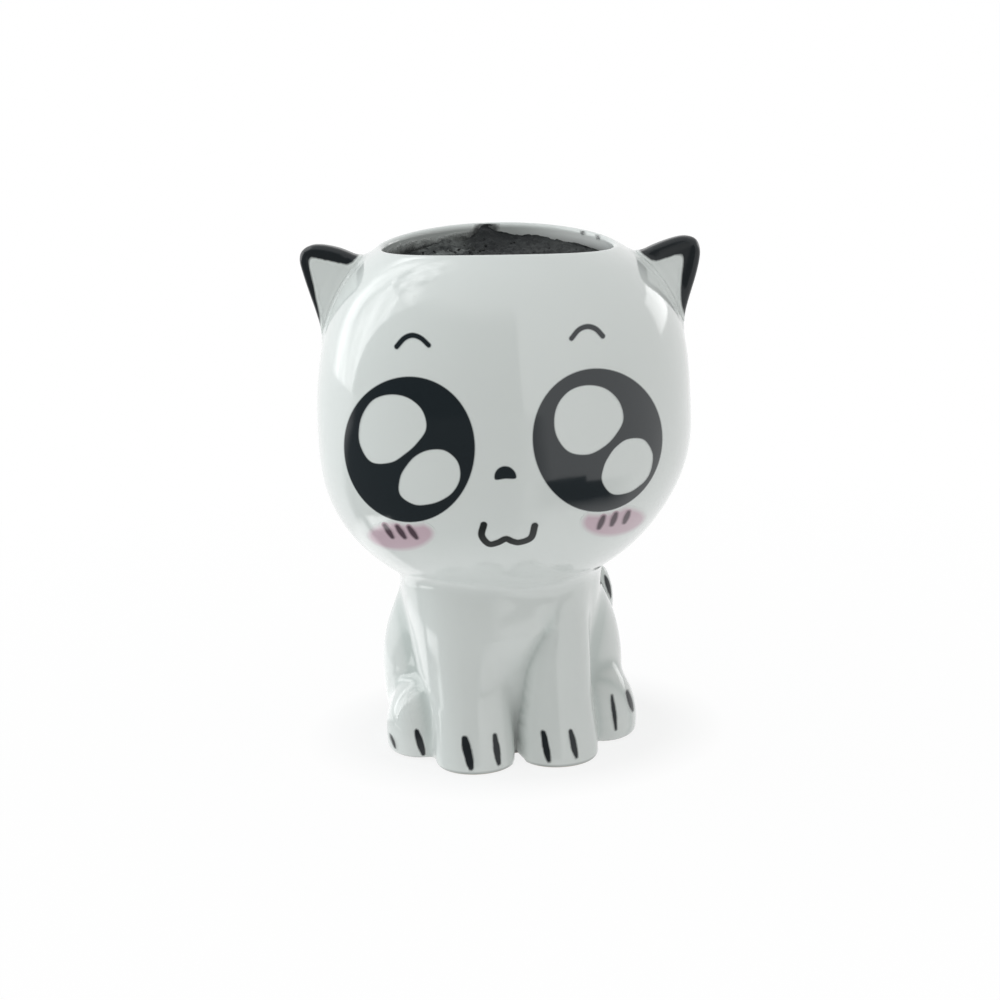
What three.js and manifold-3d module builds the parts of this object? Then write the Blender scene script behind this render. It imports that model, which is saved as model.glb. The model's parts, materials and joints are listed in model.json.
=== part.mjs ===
// Cat planter: a slip-cast ceramic head bowl luted onto a seated body, with ears, a tail, a fired-on face,
// brush-painted claws and a filling of potting soil. Millimetres, +Z up. The cat looks along -Y, and the
// origin is on the head's axis at the foot. Left and right are the cat's own, so left is +X.
import * as THREE from "three";
import { mergeVertices } from "three/addons/utils/BufferGeometryUtils.js";
import Module from "manifold-3d";

const wasm = await Module();
wasm.setup();

// Head: two half superellipses of revolution that meet at the widest ring
const HEAD_RADIUS = 47.4;
const CHEEK_HEIGHT = 77.3;
const CROWN_RISE = 54;
const CROWN_POWER = 3;
const CHIN_DROP = 40.2;
const CHIN_POWER = 1.9;
const HEAD_WALL = 4.2;
const MOUTH_RADIUS = 29.4;
const NECK_BORE = 19;

// How the casting moved in the kiln
const HEAD_LEAN = 0.054;
const RIM_SADDLE = 0.97;
const RIM_RISE = 0.5;
const RIM_TILT = 0.022;
const NECK_SHIFT = -2.4;
const BODY_TURN = 4;

// Body
const NECK_RADIUS = 26.2;
const TRUNK_RADIUS = 24.9;
const TRUNK_FOOT_RADIUS = 24.2;
const TRUNK_WAIST = 16;
const TRUNK_BACK = 4.2;
const CHEST = { middle: [-1.2, -13, 34], half: [14.7, 13.7, 13.3] };
const FORELEGS = {
  right: { spread: -9.5, radius: 9.8, pawForward: 25.3, topForward: 13.1 },
  left: { spread: 10.6, radius: 10.5, pawForward: 23.4, topForward: 10.7 },
};
const PAW_SWELL = 0.7;
const PAW_SOLE_TUCK = 0.3;
const PAW_RISE = 4;
const ANKLE_HEIGHT = 13;
const HAUNCHES = {
  right: { middle: [-18.6, 4, 16], half: [12.8, 19.3, 25.3] },
  left: { middle: [18.6, 4, 16], half: [12.8, 19.3, 25.3] },
};
const HIND_PAWS = {
  right: { middle: [-22.6, -8.6, 4], half: [9, 12, 14.2] },
  left: { middle: [24.2, -4.6, 4], half: [9.4, 12, 14.2] },
};
const BODY_BORE = 17.5;
const BODY_FLOOR = 7;
const FLOOR_ROUND = 6;
const FOOT_RECESS_RADIUS = 19;
const FOOT_RECESS = 1.8;
const DRAIN_RADIUS = 5;

// Ears, in a frame that starts on the head's surface at the ear's level, with x outwards
const EAR_RISE = 38.2;
const EAR_TIP = [11.2, 13.4];
const EAR_TOP_ROOT = [-13, 5.8];
const EAR_SIDE_ROOT = [2.2, -14];
const EAR_ROUND = 7;
const EAR_THICKNESS = 8;
const EAR_EDGE_ROUND = 2;
const EAR_SETBACK = 1;
const EAR_TIP_SHARE = 0.5;
const EAR_TILT = 0.9;
const EAR_BORDER_TOP = 2.6;
const EAR_BORDER_SIDE = 3.2;
const EAR_DISH = 0.8;

// Tail: points of its centre line in the body's frame, with their heights as shares of the neck's height
const TAIL_PATH = [
  [0, 20, 0.155],
  [9, 28, 0.19],
  [18.6, 26.5, 0.29],
  [25.4, 20, 0.49],
  [26.7, 14, 0.69],
  [24.7, 11.5, 0.88],
];
const TAIL_ROOT_RADIUS = 5.2;
const TAIL_TIP_RADIUS = 3.4;
const TAIL_DOME_START = 0.86;
const TAIL_DOME_END = 0.98;
const TAIL_MARK = { start: 2.4, length: 9.6, width: 2.2, out: 2.5 };
const TAIL_MARK_END_SHARE = 0.5;

// Face, on the front plane: x to the cat's left, z up from the head's widest ring
const FACE_TILT = 0.9;
const EYE = { x: 0.477 * HEAD_RADIUS, z: 6.9, major: 18.4, minor: 15.6, lean: 24 };
const GLINTS_RIGHT = [
  { x: -4, z: 5.2, major: 9.5, minor: 6.7, lean: 48 },
  { x: 4.9, z: -6.1, major: 8.1, minor: 5.6, lean: 40 },
];
const GLINTS_LEFT = [
  { x: -2.5, z: 5.8, major: 8.1, minor: 8, lean: 26 },
  { x: 6.8, z: -7.4, major: 7, minor: 5.9, lean: 59 },
];
const BROW = { x: 0.437 * HEAD_RADIUS, z: 31.5, half: 4.1, rise: 2.7, width: 1.8 };
const NOSE = { z: 0.3, half: 2.8, crown: 4.4, round: 1 };
const MOUTH_WIDTH = 2;
const MOUTH_HALF = [
  [6, -11.4],
  [6.2, -13.8],
  [4.4, -16.3],
  [2.1, -16],
];
const MOUTH_PEAK = -15;
const CHEEK = { x: 0.549 * HEAD_RADIUS, z: -15, major: 8.3, minor: 4.1, lean: 17 };
const CHEEK_STROKE = { pitch: 3, length: 2.5, lean: 23, width: 1.15, rise: 1 };

// Claws: brush strokes on the paws, in the body's frame
const CLAW_WIDTH = 2;
const CLAW_END_SHARE = 0.45;
const FRONT_CLAWS = {
  right_outer: { top: [-12.6, 9.2], foot: [-11.6, 1.6] },
  right_inner: { top: [-5, 9.3], foot: [-4.3, 1.8] },
  left_inner: { top: [7.2, 9], foot: [8.1, 1.7] },
  left_outer: { top: [13.9, 8.9], foot: [15, 2] },
};
const HIND_CLAWS = {
  right_outer: { top: [-30.3, 5.6], foot: [-29.2, 2] },
  right_inner: { top: [-24, 7.9], foot: [-22.6, 1.8] },
  left_inner: { top: [26.2, 12], foot: [26.9, 3.4] },
  left_outer: { top: [30.6, 11], foot: [31.9, 6] },
};

// Soil
const SOIL_DEPTH = 5.2;
const SOIL_CROWN = 0.8;
const SOIL_HEAP = 2.8;
const SOIL_SWELL = { rise: 0.35, across: 0.5, along: 0.43 };
const SOIL_RIDGE = { rise: 0.25, across: 0.9, along: -0.7 };
const SOIL_RINGS = 7;

// Fit and finish
const GAP = 0.3;
const FILM = 0.4;
const RINGS = 44;
const ROWS = 20;
const INNER_ROWS = 12;
const LIP_STEPS = 5;
const FLOOR_STEPS = 4;
const BALL_SIDES = 24;
const BALL_ROWS = 14;
const TRUNK_SIDES = 36;
const ELLIPSE_SIDES = 40;
const CAP_STEPS = 4;
const MOUTH_STEPS = 28;
const TAIL_STEPS = 18;
const TAIL_SIDES = 12;
const WELD = 1e-4;

const glaze = new THREE.MeshStandardMaterial({ color: 0xe9ece9, roughness: 0.12 });
const blackGlaze = new THREE.MeshStandardMaterial({ color: 0x22282b, roughness: 0.2 });
const eyeTransfer = new THREE.MeshStandardMaterial({ color: 0x1e262a, roughness: 0.15 });
const blush = new THREE.MeshStandardMaterial({ color: 0xcfa6b4, roughness: 0.2 });
const blushStroke = new THREE.MeshStandardMaterial({ color: 0x5c4a52, roughness: 0.25 });
const soilBrown = new THREE.MeshStandardMaterial({ color: 0x2b2926, roughness: 0.95 });

const planter = new THREE.Group();
const body = new THREE.Group();
body.position.x = NECK_SHIFT;
body.rotation.z = THREE.MathUtils.degToRad(BODY_TURN);
body.updateMatrix();
planter.add(body);

function add(parent, name, geometry, material) {
  const mesh = new THREE.Mesh(geometry, material);
  mesh.name = name;
  parent.add(mesh);
}

// Solids
function solid(geometry) {
  const bare = new THREE.BufferGeometry();
  bare.setAttribute("position", geometry.getAttribute("position"));
  bare.setIndex(geometry.index);
  const welded = mergeVertices(bare, WELD);
  const corners = welded.index.array;
  const kept = [];
  for (let i = 0; i < corners.length; i += 3) {
    const [a, b, c] = corners.slice(i, i + 3);
    if (a !== b && b !== c && c !== a) kept.push(a, b, c);
  }
  return new wasm.Manifold(
    new wasm.Mesh({
      numProp: 3,
      vertProperties: welded.getAttribute("position").array,
      triVerts: new Uint32Array(kept),
    }),
  );
}

function geometryOf(made) {
  const { vertProperties, triVerts } = made.getMesh();
  const geometry = new THREE.BufferGeometry();
  geometry.setAttribute("position", new THREE.BufferAttribute(vertProperties, 3));
  geometry.setIndex(new THREE.BufferAttribute(triVerts, 1));
  geometry.computeVertexNormals();
  return geometry;
}

function union(geometries) {
  return geometries.map(solid).reduce((whole, next) => whole.add(next));
}

function revolve(points, segments = RINGS) {
  return new THREE.LatheGeometry(points, segments).rotateX(Math.PI / 2);
}

function ball(centre, half, grown = 0) {
  return new THREE.SphereGeometry(1, BALL_SIDES, BALL_ROWS)
    .rotateX(Math.PI / 2)
    .scale(...half.map((h) => h + grown))
    .translate(...centre);
}

// A prism through the front of the cat, from an outline on the front plane
function prism(shape, { near = -2 * HEAD_RADIUS, far = 0 } = {}) {
  return new THREE.ExtrudeGeometry(shape, { depth: far - near, bevelEnabled: false })
    .rotateX(Math.PI / 2)
    .translate(0, far, 0);
}

// Head
function headPoint(angle, offset = 0) {
  const [power, reach] = angle > 0 ? [CROWN_POWER, CROWN_RISE] : [CHIN_POWER, CHIN_DROP];
  const across = Math.cos(angle) ** (2 / power);
  const along = Math.sign(angle) * Math.abs(Math.sin(angle)) ** (2 / power);
  const normal = new THREE.Vector2(
    across ** (power - 1) / HEAD_RADIUS,
    (Math.sign(along) * Math.abs(along) ** (power - 1)) / reach,
  ).normalize();
  return new THREE.Vector2(HEAD_RADIUS * across, CHEEK_HEIGHT + reach * along).addScaledVector(
    normal,
    offset,
  );
}

function angleAtRadius(radius, power) {
  return Math.acos((radius / HEAD_RADIUS) ** (power / 2));
}

const LIP_ANGLE = angleAtRadius(MOUTH_RADIUS, CROWN_POWER);
const NECK_ANGLE = -angleAtRadius(NECK_BORE, CHIN_POWER);
const LIP_HEIGHT = headPoint(LIP_ANGLE).y;
const NECK_HEIGHT = headPoint(NECK_ANGLE).y;

function headRun(from, to, offset, rows = ROWS) {
  return Array.from({ length: rows + 1 }, (_, i) => headPoint(from + ((to - from) * i) / rows, offset));
}

// The casting leans to one side, its rim sags and tilts, and its chin sits off the axis of the crown
function settle(geometry) {
  const position = geometry.getAttribute("position");
  const point = new THREE.Vector3();
  for (let i = 0; i < position.count; i++) {
    point.fromBufferAttribute(position, i);
    const share = THREE.MathUtils.clamp((point.z - NECK_HEIGHT) / (LIP_HEIGHT - NECK_HEIGHT), 0, 1);
    const below = THREE.MathUtils.clamp((CHEEK_HEIGHT - point.z) / (CHEEK_HEIGHT - NECK_HEIGHT), 0, 1);
    const above = THREE.MathUtils.clamp((point.z - CHEEK_HEIGHT) / (LIP_HEIGHT - CHEEK_HEIGHT), 0, 1);
    const reach = Math.max(point.x ** 2 + point.y ** 2, MOUTH_RADIUS ** 2);
    const saddle = (RIM_SADDLE * (point.y ** 2 - point.x ** 2)) / reach;
    const rim = above ** 4 * (saddle + RIM_RISE - RIM_TILT * point.x);
    const lean = HEAD_LEAN * point.x * Math.sin(Math.PI * share);
    position.setXYZ(i, point.x + NECK_SHIFT * below ** 2, point.y, point.z + lean + rim);
  }
  return geometry;
}

// The whole outside of the head, grown by an offset, without its openings
function headGeometry(offset) {
  const lower = headRun(-Math.PI / 2, 0, offset, ROWS / 2);
  const upper = headRun(0, Math.PI / 2, offset, ROWS / 2).slice(1);
  const outline = [...lower, ...upper];
  outline[0].x = 0;
  outline[outline.length - 1].x = 0;
  return settle(revolve(outline));
}

function headForm(offset) {
  return solid(headGeometry(offset));
}

// The wall inside the head, from the lip down to where it meets the neck's bore
function innerWall(clearance) {
  const bore = NECK_BORE - clearance;
  const wall = headRun(LIP_ANGLE, NECK_ANGLE, -HEAD_WALL - clearance, INNER_ROWS);
  const end = wall.findIndex((point) => point.y < CHEEK_HEIGHT && point.x < bore);
  const [above, under] = [wall[end - 1], wall[end]];
  const edge = above.clone().lerp(under, (above.x - bore) / (above.x - under.x));
  return [...wall.slice(0, end), edge];
}

function headBowl() {
  const outside = headRun(NECK_ANGLE, LIP_ANGLE, 0);
  const inside = innerWall(0);
  const rimOut = outside[outside.length - 1];
  const rimMiddle = rimOut.clone().add(inside[0]).multiplyScalar(0.5);
  const lip = Array.from({ length: LIP_STEPS - 1 }, (_, i) =>
    rimOut.clone().rotateAround(rimMiddle, (Math.PI * (i + 1)) / LIP_STEPS),
  );
  return settle(revolve([...outside, ...lip, ...inside, outside[0].clone()]));
}

const headGrown = headForm(GAP);
const faceSkin = headForm(GAP + FILM).subtract(headGrown);

add(planter, "head_bowl", geometryOf(solid(headBowl())), glaze);

// Outlines of brush strokes and transfers, drawn on the front plane
function ellipse({ major, minor }, [x, z], lean, grown = 0) {
  const turn = THREE.MathUtils.degToRad(lean);
  const points = Array.from({ length: ELLIPSE_SIDES }, (_, i) => {
    const angle = (2 * Math.PI * i) / ELLIPSE_SIDES;
    const point = new THREE.Vector2((major + grown) * Math.cos(angle), (minor + grown) * Math.sin(angle));
    return point.rotateAround(new THREE.Vector2(), turn).add(new THREE.Vector2(x, z));
  });
  return new THREE.Shape(points);
}

function stroke(curve, width, { steps = 10, taper = () => 1, grown = 0 } = {}) {
  const left = [];
  const right = [];
  for (let i = 0; i <= steps; i++) {
    const along = i / steps;
    const half = (width / 2) * taper(along) + grown;
    const tangent = curve.getTangent(along);
    const side = new THREE.Vector2(-tangent.y, tangent.x).multiplyScalar(half);
    const middle = curve.getPoint(along);
    left.push(middle.clone().add(side));
    right.unshift(middle.clone().sub(side));
    if (i === 0 || i === steps) {
      const start = i === 0 ? middle.clone().sub(side) : middle.clone().add(side);
      const cap = Array.from({ length: CAP_STEPS - 1 }, (_, k) =>
        start.clone().rotateAround(middle, (-Math.PI * (k + 1)) / CAP_STEPS),
      );
      if (i === 0) left.unshift(...cap);
      else left.push(...cap);
    }
  }
  return new THREE.Shape([...left, ...right]);
}

function line([x0, z0], [x1, z1]) {
  return new THREE.LineCurve(new THREE.Vector2(x0, z0), new THREE.Vector2(x1, z1));
}

// Face: transfers that lie on the head as thin skins, put on slightly turned
function facePrism(shape) {
  const block = new THREE.ExtrudeGeometry(shape, {
    depth: HEAD_RADIUS + HEAD_WALL,
    bevelEnabled: false,
    curveSegments: 5,
  });
  block.rotateZ(THREE.MathUtils.degToRad(FACE_TILT)).rotateX(Math.PI / 2);
  return solid(block.translate(0, 0, CHEEK_HEIGHT));
}

function addTransfer(name, shape, material, cuts = []) {
  const outline = cuts.reduce((kept, cut) => kept.subtract(facePrism(cut)), facePrism(shape));
  add(planter, name, geometryOf(outline.intersect(faceSkin)), material);
}

function eyeShape(side, grown = 0) {
  return ellipse(EYE, [side * EYE.x, EYE.z], 90 + side * EYE.lean, grown);
}

function addEye(name, side, glints) {
  const shape = eyeShape(side);
  for (const glint of glints) {
    shape.holes.push(ellipse(glint, [side * EYE.x + glint.x, EYE.z + glint.z], glint.lean));
  }
  addTransfer(name, shape, eyeTransfer);
}

function addBrow(name, side) {
  const [x, z] = [side * BROW.x, BROW.z];
  const arc = new THREE.QuadraticBezierCurve(
    new THREE.Vector2(x - BROW.half, z),
    new THREE.Vector2(x, z + 2 * BROW.rise),
    new THREE.Vector2(x + BROW.half, z),
  );
  addTransfer(name, stroke(arc, BROW.width), blackGlaze);
}

function noseShape() {
  const { z, half, crown, round } = NOSE;
  const shape = new THREE.Shape();
  shape.moveTo(-half + round, z);
  shape.lineTo(half - round, z);
  shape.quadraticCurveTo(half, z, half, z + round);
  shape.bezierCurveTo(half, z + crown, -half, z + crown, -half, z + round);
  shape.quadraticCurveTo(-half, z, -half + round, z);
  return shape;
}

function mouthShape() {
  const points = [
    ...MOUTH_HALF.map(([x, z]) => new THREE.Vector2(-x, z)),
    new THREE.Vector2(0, MOUTH_PEAK),
    ...MOUTH_HALF.map(([x, z]) => new THREE.Vector2(x, z)).reverse(),
  ];
  return stroke(new THREE.SplineCurve(points), MOUTH_WIDTH, { steps: MOUTH_STEPS });
}

function cheekStrokes(side, grown = 0) {
  const { pitch, length, lean, width, rise } = CHEEK_STROKE;
  const angle = THREE.MathUtils.degToRad(lean);
  const half = [(side * Math.sin(angle) * length) / 2, (Math.cos(angle) * length) / 2];
  return [-1, 0, 1].map((place) => {
    const [x, z] = [side * (CHEEK.x + place * pitch), CHEEK.z + rise];
    return stroke(line([x + half[0], z + half[1]], [x - half[0], z - half[1]]), width, { steps: 2, grown });
  });
}

function addCheek(sideName, side) {
  const shape = ellipse(CHEEK, [side * CHEEK.x, CHEEK.z], -side * CHEEK.lean);
  const cuts = [eyeShape(side, GAP), ...cheekStrokes(side, GAP)];
  addTransfer("cheek_" + sideName, shape, blush, cuts);
  cheekStrokes(side).forEach((mark, i) =>
    addTransfer(`cheek_stroke_${sideName}_${i + 1}`, mark, blushStroke),
  );
}

addEye("eye_left", 1, GLINTS_LEFT);
addEye("eye_right", -1, GLINTS_RIGHT);
addBrow("brow_left", 1);
addBrow("brow_right", -1);
addTransfer("nose", noseShape(), blackGlaze);
addTransfer("mouth", mouthShape(), blackGlaze);
addCheek("left", 1);
addCheek("right", -1);

// Ears
const ears = { left: 1, right: -1 };
const earRootRadius = headPoint(
  Math.asin((EAR_RISE / CROWN_RISE) ** (CROWN_POWER / 2)),
).x;

function earPlace(side, [x, z]) {
  return new THREE.Vector2(side * (earRootRadius + x), CHEEK_HEIGHT + EAR_RISE + z - side * EAR_TILT);
}

function earForm(side, grown = 0) {
  const [tip, top, foot] = [EAR_TIP, EAR_TOP_ROOT, EAR_SIDE_ROOT].map((point) => earPlace(side, point));
  const before = tip.clone().add(top.clone().sub(tip).setLength(EAR_ROUND));
  const after = tip.clone().add(foot.clone().sub(tip).setLength(EAR_ROUND));
  const shape = new THREE.Shape();
  shape.moveTo(top.x, top.y);
  shape.lineTo(before.x, before.y);
  shape.quadraticCurveTo(tip.x, tip.y, after.x, after.y);
  shape.lineTo(foot.x, foot.y);
  const depth = EAR_THICKNESS - 2 * EAR_EDGE_ROUND;
  const block = new THREE.ExtrudeGeometry(shape, {
    depth,
    bevelThickness: EAR_EDGE_ROUND + grown,
    bevelSize: EAR_EDGE_ROUND + grown,
    bevelOffset: -EAR_EDGE_ROUND,
    bevelSegments: 3,
    curveSegments: 6,
  });
  block.rotateX(Math.PI / 2).translate(0, depth / 2, 0);
  const position = block.getAttribute("position");
  const [inner, outer] = [top.x, tip.x];
  for (let i = 0; i < position.count; i++) {
    const share = THREE.MathUtils.clamp((position.getX(i) - inner) / (outer - inner), 0, 1);
    const thinned = position.getY(i) * THREE.MathUtils.lerp(1, EAR_TIP_SHARE, share);
    position.setY(i, thinned + EAR_SETBACK);
  }
  return solid(block);
}

// The bare triangle inside the ear's painted border, as a block from near to far
function earInside(side, near, far) {
  const [tip, top, foot] = [EAR_TIP, EAR_TOP_ROOT, EAR_SIDE_ROOT].map((point) => earPlace(side, point));
  const alongTop = top.clone().sub(tip).normalize();
  const alongSide = foot.clone().sub(tip).normalize();
  const spread = Math.abs(alongTop.cross(alongSide));
  const corner = tip
    .clone()
    .addScaledVector(alongTop, EAR_BORDER_SIDE / spread)
    .addScaledVector(alongSide, EAR_BORDER_TOP / spread);
  const rootTop = corner.clone().addScaledVector(alongTop, tip.distanceTo(top));
  const rootFoot = corner.clone().addScaledVector(alongSide, tip.distanceTo(foot));
  return solid(prism(new THREE.Shape([corner, rootTop, rootFoot]), { near, far }));
}

for (const [sideName, side] of Object.entries(ears)) {
  const front = EAR_SETBACK - EAR_THICKNESS / 2;
  const dish = earInside(side, front - EAR_THICKNESS, front + EAR_DISH);
  const ear = earForm(side).subtract(headGrown).subtract(dish);
  const paint = earForm(side, GAP + FILM)
    .subtract(earForm(side, GAP))
    .subtract(earInside(side, front - EAR_THICKNESS, front + 2 * EAR_THICKNESS))
    .subtract(headGrown);
  add(planter, "ear_" + sideName, geometryOf(ear), glaze);
  add(planter, "ear_edge_" + sideName, geometryOf(paint), blackGlaze);
}

// Body, in its own frame under the head
const toBody = body.matrix.clone().invert();
const headOverBody = solid(headGeometry(GAP).applyMatrix4(toBody));
const neckTop = headPoint(-angleAtRadius(NECK_RADIUS, CHIN_POWER)).y;

function spindle(stations, grown) {
  const curve = new THREE.SplineCurve(stations.map(([radius, z]) => new THREE.Vector2(radius + grown, z)));
  const wall = curve.getPoints(2 * (stations.length - 1));
  return [new THREE.Vector2(0, wall[0].y), ...wall, new THREE.Vector2(0, wall[wall.length - 1].y)];
}

// Sets an upright form off the axis, by an offset that depends on the share of the way up to the neck
function setOff(geometry, offsetAt) {
  const position = geometry.getAttribute("position");
  for (let i = 0; i < position.count; i++) {
    const [x, y] = offsetAt(THREE.MathUtils.clamp(position.getZ(i) / neckTop, 0, 1));
    position.setXYZ(i, position.getX(i) + x, position.getY(i) + y, position.getZ(i));
  }
  return geometry;
}

// A foreleg stands as a column that leans forward from the chest to the paw
function foreleg({ spread, radius, pawForward, topForward }, grown) {
  const profile = spindle(
    [
      [radius - PAW_SOLE_TUCK, -HEAD_WALL],
      [radius - PAW_SOLE_TUCK, 0],
      [radius + PAW_SWELL, PAW_RISE],
      [radius, ANKLE_HEIGHT],
      [radius, (ANKLE_HEIGHT + neckTop) / 2],
      [radius, neckTop],
    ],
    grown,
  );
  return setOff(revolve(profile, BALL_SIDES), (height) => [
    spread,
    -THREE.MathUtils.lerp(pawForward, topForward, Math.sqrt(height)),
  ]);
}

// The trunk sits back behind the forelegs and comes onto the axis at the neck
function bodyForm(grown = 0) {
  const profile = spindle(
    [
      [TRUNK_FOOT_RADIUS, -HEAD_WALL],
      [TRUNK_FOOT_RADIUS, 0],
      [TRUNK_RADIUS, TRUNK_WAIST],
      [NECK_RADIUS, neckTop],
      [NECK_RADIUS, neckTop + HEAD_WALL],
    ],
    grown,
  );
  const trunk = setOff(revolve(profile, TRUNK_SIDES), (height) => [0, TRUNK_BACK * (1 - height ** 2)]);
  const pieces = [trunk, ball(CHEST.middle, CHEST.half, grown)];
  for (const side of ["right", "left"]) {
    pieces.push(
      foreleg(FORELEGS[side], grown),
      ball(HAUNCHES[side].middle, HAUNCHES[side].half, grown),
      ball(HIND_PAWS[side].middle, HIND_PAWS[side].half, grown),
    );
  }
  const wide = 4 * HEAD_RADIUS;
  const ground = new THREE.BoxGeometry(wide, wide, wide).translate(0, 0, -wide / 2);
  return union(pieces).subtract(solid(ground));
}

// Outline of the space in the body from the neck down to the middle of its floor, shrunk by a clearance
function bodyCavity(clearance = 0) {
  const bore = BODY_BORE - clearance;
  const neck = NECK_BORE - clearance;
  const bottom = BODY_FLOOR + clearance;
  const shoulder = NECK_HEIGHT - HEAD_WALL;
  const corner = new THREE.Vector2(bore - FLOOR_ROUND, bottom + FLOOR_ROUND);
  const fillet = Array.from({ length: FLOOR_STEPS + 1 }, (_, i) => {
    const angle = ((-Math.PI / 2) * i) / FLOOR_STEPS;
    return new THREE.Vector2(Math.cos(angle), Math.sin(angle)).multiplyScalar(FLOOR_ROUND).add(corner);
  });
  return [
    new THREE.Vector2(neck, NECK_HEIGHT),
    new THREE.Vector2(neck, shoulder),
    new THREE.Vector2(bore, shoulder - 2 * Math.abs(BODY_BORE - NECK_BORE)),
    ...fillet,
    new THREE.Vector2(0, bottom),
  ];
}

// An upright cylinder through the plane of the foot
function round(radius, length) {
  return solid(new THREE.CylinderGeometry(radius, radius, length, TRUNK_SIDES).rotateX(Math.PI / 2));
}

function bodyBase() {
  const above = neckTop + HEAD_WALL;
  const neck = [new THREE.Vector2(0, above), new THREE.Vector2(NECK_BORE, above)];
  const hollow = [...neck, ...bodyCavity()].reverse();
  return bodyForm()
    .subtract(headOverBody)
    .subtract(solid(revolve(hollow)))
    .subtract(round(DRAIN_RADIUS, 3 * BODY_FLOOR))
    .subtract(round(FOOT_RECESS_RADIUS, 2 * FOOT_RECESS));
}

const bodyGrown = bodyForm(GAP);
const bodySkin = bodyForm(GAP + FILM).subtract(bodyGrown);
add(body, "body_base", geometryOf(bodyBase()), glaze);

// Claws: strokes that are wide in the middle and drawn out at the ends, over the front half of their paws
function addClaws(paw, claws, pawMiddle) {
  const taper = (along) => THREE.MathUtils.lerp(CLAW_END_SHARE, 1, Math.sin(Math.PI * along));
  for (const [place, { top, foot }] of Object.entries(claws)) {
    const [side] = place.split("_");
    const block = solid(prism(stroke(line(top, foot), CLAW_WIDTH, { taper }), { far: pawMiddle(side) }));
    add(body, `claw_${paw}_${place}`, geometryOf(block.intersect(bodySkin)), blackGlaze);
  }
}

addClaws("front", FRONT_CLAWS, (side) => -FORELEGS[side].pawForward);
addClaws("hind", HIND_CLAWS, (side) => HIND_PAWS[side].middle[1]);

// Tail: a tapering roll along a curve, with a round tip
const tailCurve = new THREE.CatmullRomCurve3(
  TAIL_PATH.map(([x, y, share]) => new THREE.Vector3(x, y, share * neckTop)),
);

function tailForm(grown = 0) {
  const { normals, binormals } = tailCurve.computeFrenetFrames(TAIL_STEPS);
  const positions = [];
  const indices = [];
  for (let i = 0; i <= TAIL_STEPS; i++) {
    const along = i / TAIL_STEPS;
    const dome = (TAIL_DOME_END * Math.max(0, along - TAIL_DOME_START)) / (1 - TAIL_DOME_START);
    const thick = THREE.MathUtils.lerp(TAIL_ROOT_RADIUS, TAIL_TIP_RADIUS, along) * Math.sqrt(1 - dome ** 2);
    const middle = tailCurve.getPointAt(along);
    for (let j = 0; j < TAIL_SIDES; j++) {
      const angle = (2 * Math.PI * j) / TAIL_SIDES;
      const point = middle
        .clone()
        .addScaledVector(normals[i], (thick + grown) * Math.cos(angle))
        .addScaledVector(binormals[i], (thick + grown) * Math.sin(angle));
      positions.push(...point);
    }
  }
  const ring = (i, j) => i * TAIL_SIDES + (j % TAIL_SIDES);
  for (let j = 0; j < TAIL_SIDES; j++) {
    for (let i = 0; i < TAIL_STEPS; i++) {
      indices.push(ring(i, j), ring(i, j + 1), ring(i + 1, j));
      indices.push(ring(i + 1, j), ring(i, j + 1), ring(i + 1, j + 1));
    }
    if (j > 1) {
      indices.push(ring(0, 0), ring(0, j), ring(0, j - 1));
      indices.push(ring(TAIL_STEPS, 0), ring(TAIL_STEPS, j - 1), ring(TAIL_STEPS, j));
    }
  }
  const geometry = new THREE.BufferGeometry();
  geometry.setAttribute("position", new THREE.Float32BufferAttribute(positions, 3));
  geometry.setIndex(indices);
  return solid(geometry);
}

const tail = tailForm().subtract(bodyGrown).subtract(headOverBody);
add(body, "tail", geometryOf(tail), glaze);

function tailMark() {
  const { start, length, width, out } = TAIL_MARK;
  const tip = tailCurve.getPointAt(1 - start / tailCurve.getLength());
  const lower = tailCurve.getPointAt(1 - length / tailCurve.getLength());
  const taper = (along) => THREE.MathUtils.lerp(1, TAIL_MARK_END_SHARE, along);
  const shape = stroke(line([tip.x + out, tip.z], [lower.x + out, lower.z]), width, { taper });
  const reach = 2 * TAIL_ROOT_RADIUS;
  const block = solid(prism(shape, { near: tip.y - reach, far: lower.y + reach }));
  const skin = tailForm(GAP + FILM).subtract(tailForm(GAP));
  return block.intersect(skin).subtract(bodyGrown).subtract(headOverBody);
}

add(body, "tail_mark", geometryOf(tailMark()), blackGlaze);

// Soil: fills the hollow of the head and body up to a little under the lip
function pottingSoil() {
  const level = LIP_HEIGHT - SOIL_DEPTH;
  const wall = innerWall(GAP);
  const wallAt = (height) => {
    const start = Math.max(1, wall.findIndex((point) => point.y < height));
    const [above, under] = [wall[start - 1], wall[start]];
    return above.clone().lerp(under, (above.y - height) / (above.y - under.y));
  };
  const edge = wallAt(level);
  const ring = edge.x / SOIL_RINGS;
  const top = Array.from({ length: SOIL_RINGS }, (_, i) => new THREE.Vector2(i * ring, level));
  const outline = [...top, edge, ...wall.filter((point) => point.y < level), ...bodyCavity(GAP)];
  const geometry = revolve(outline.reverse(), RINGS);
  const position = geometry.getAttribute("position");
  for (let i = 0; i < position.count; i++) {
    const [x, y, z] = [position.getX(i), position.getY(i), position.getZ(i)];
    if (z < level - WELD) continue;
    const reach = Math.hypot(x, y) / edge.x;
    const height = level + soilRise(x, y, reach);
    const spread = reach > 1 - WELD ? wallAt(height).x / edge.x : 1;
    position.setXYZ(i, x * spread, y * spread, height);
  }
  return settle(geometry);
}

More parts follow.
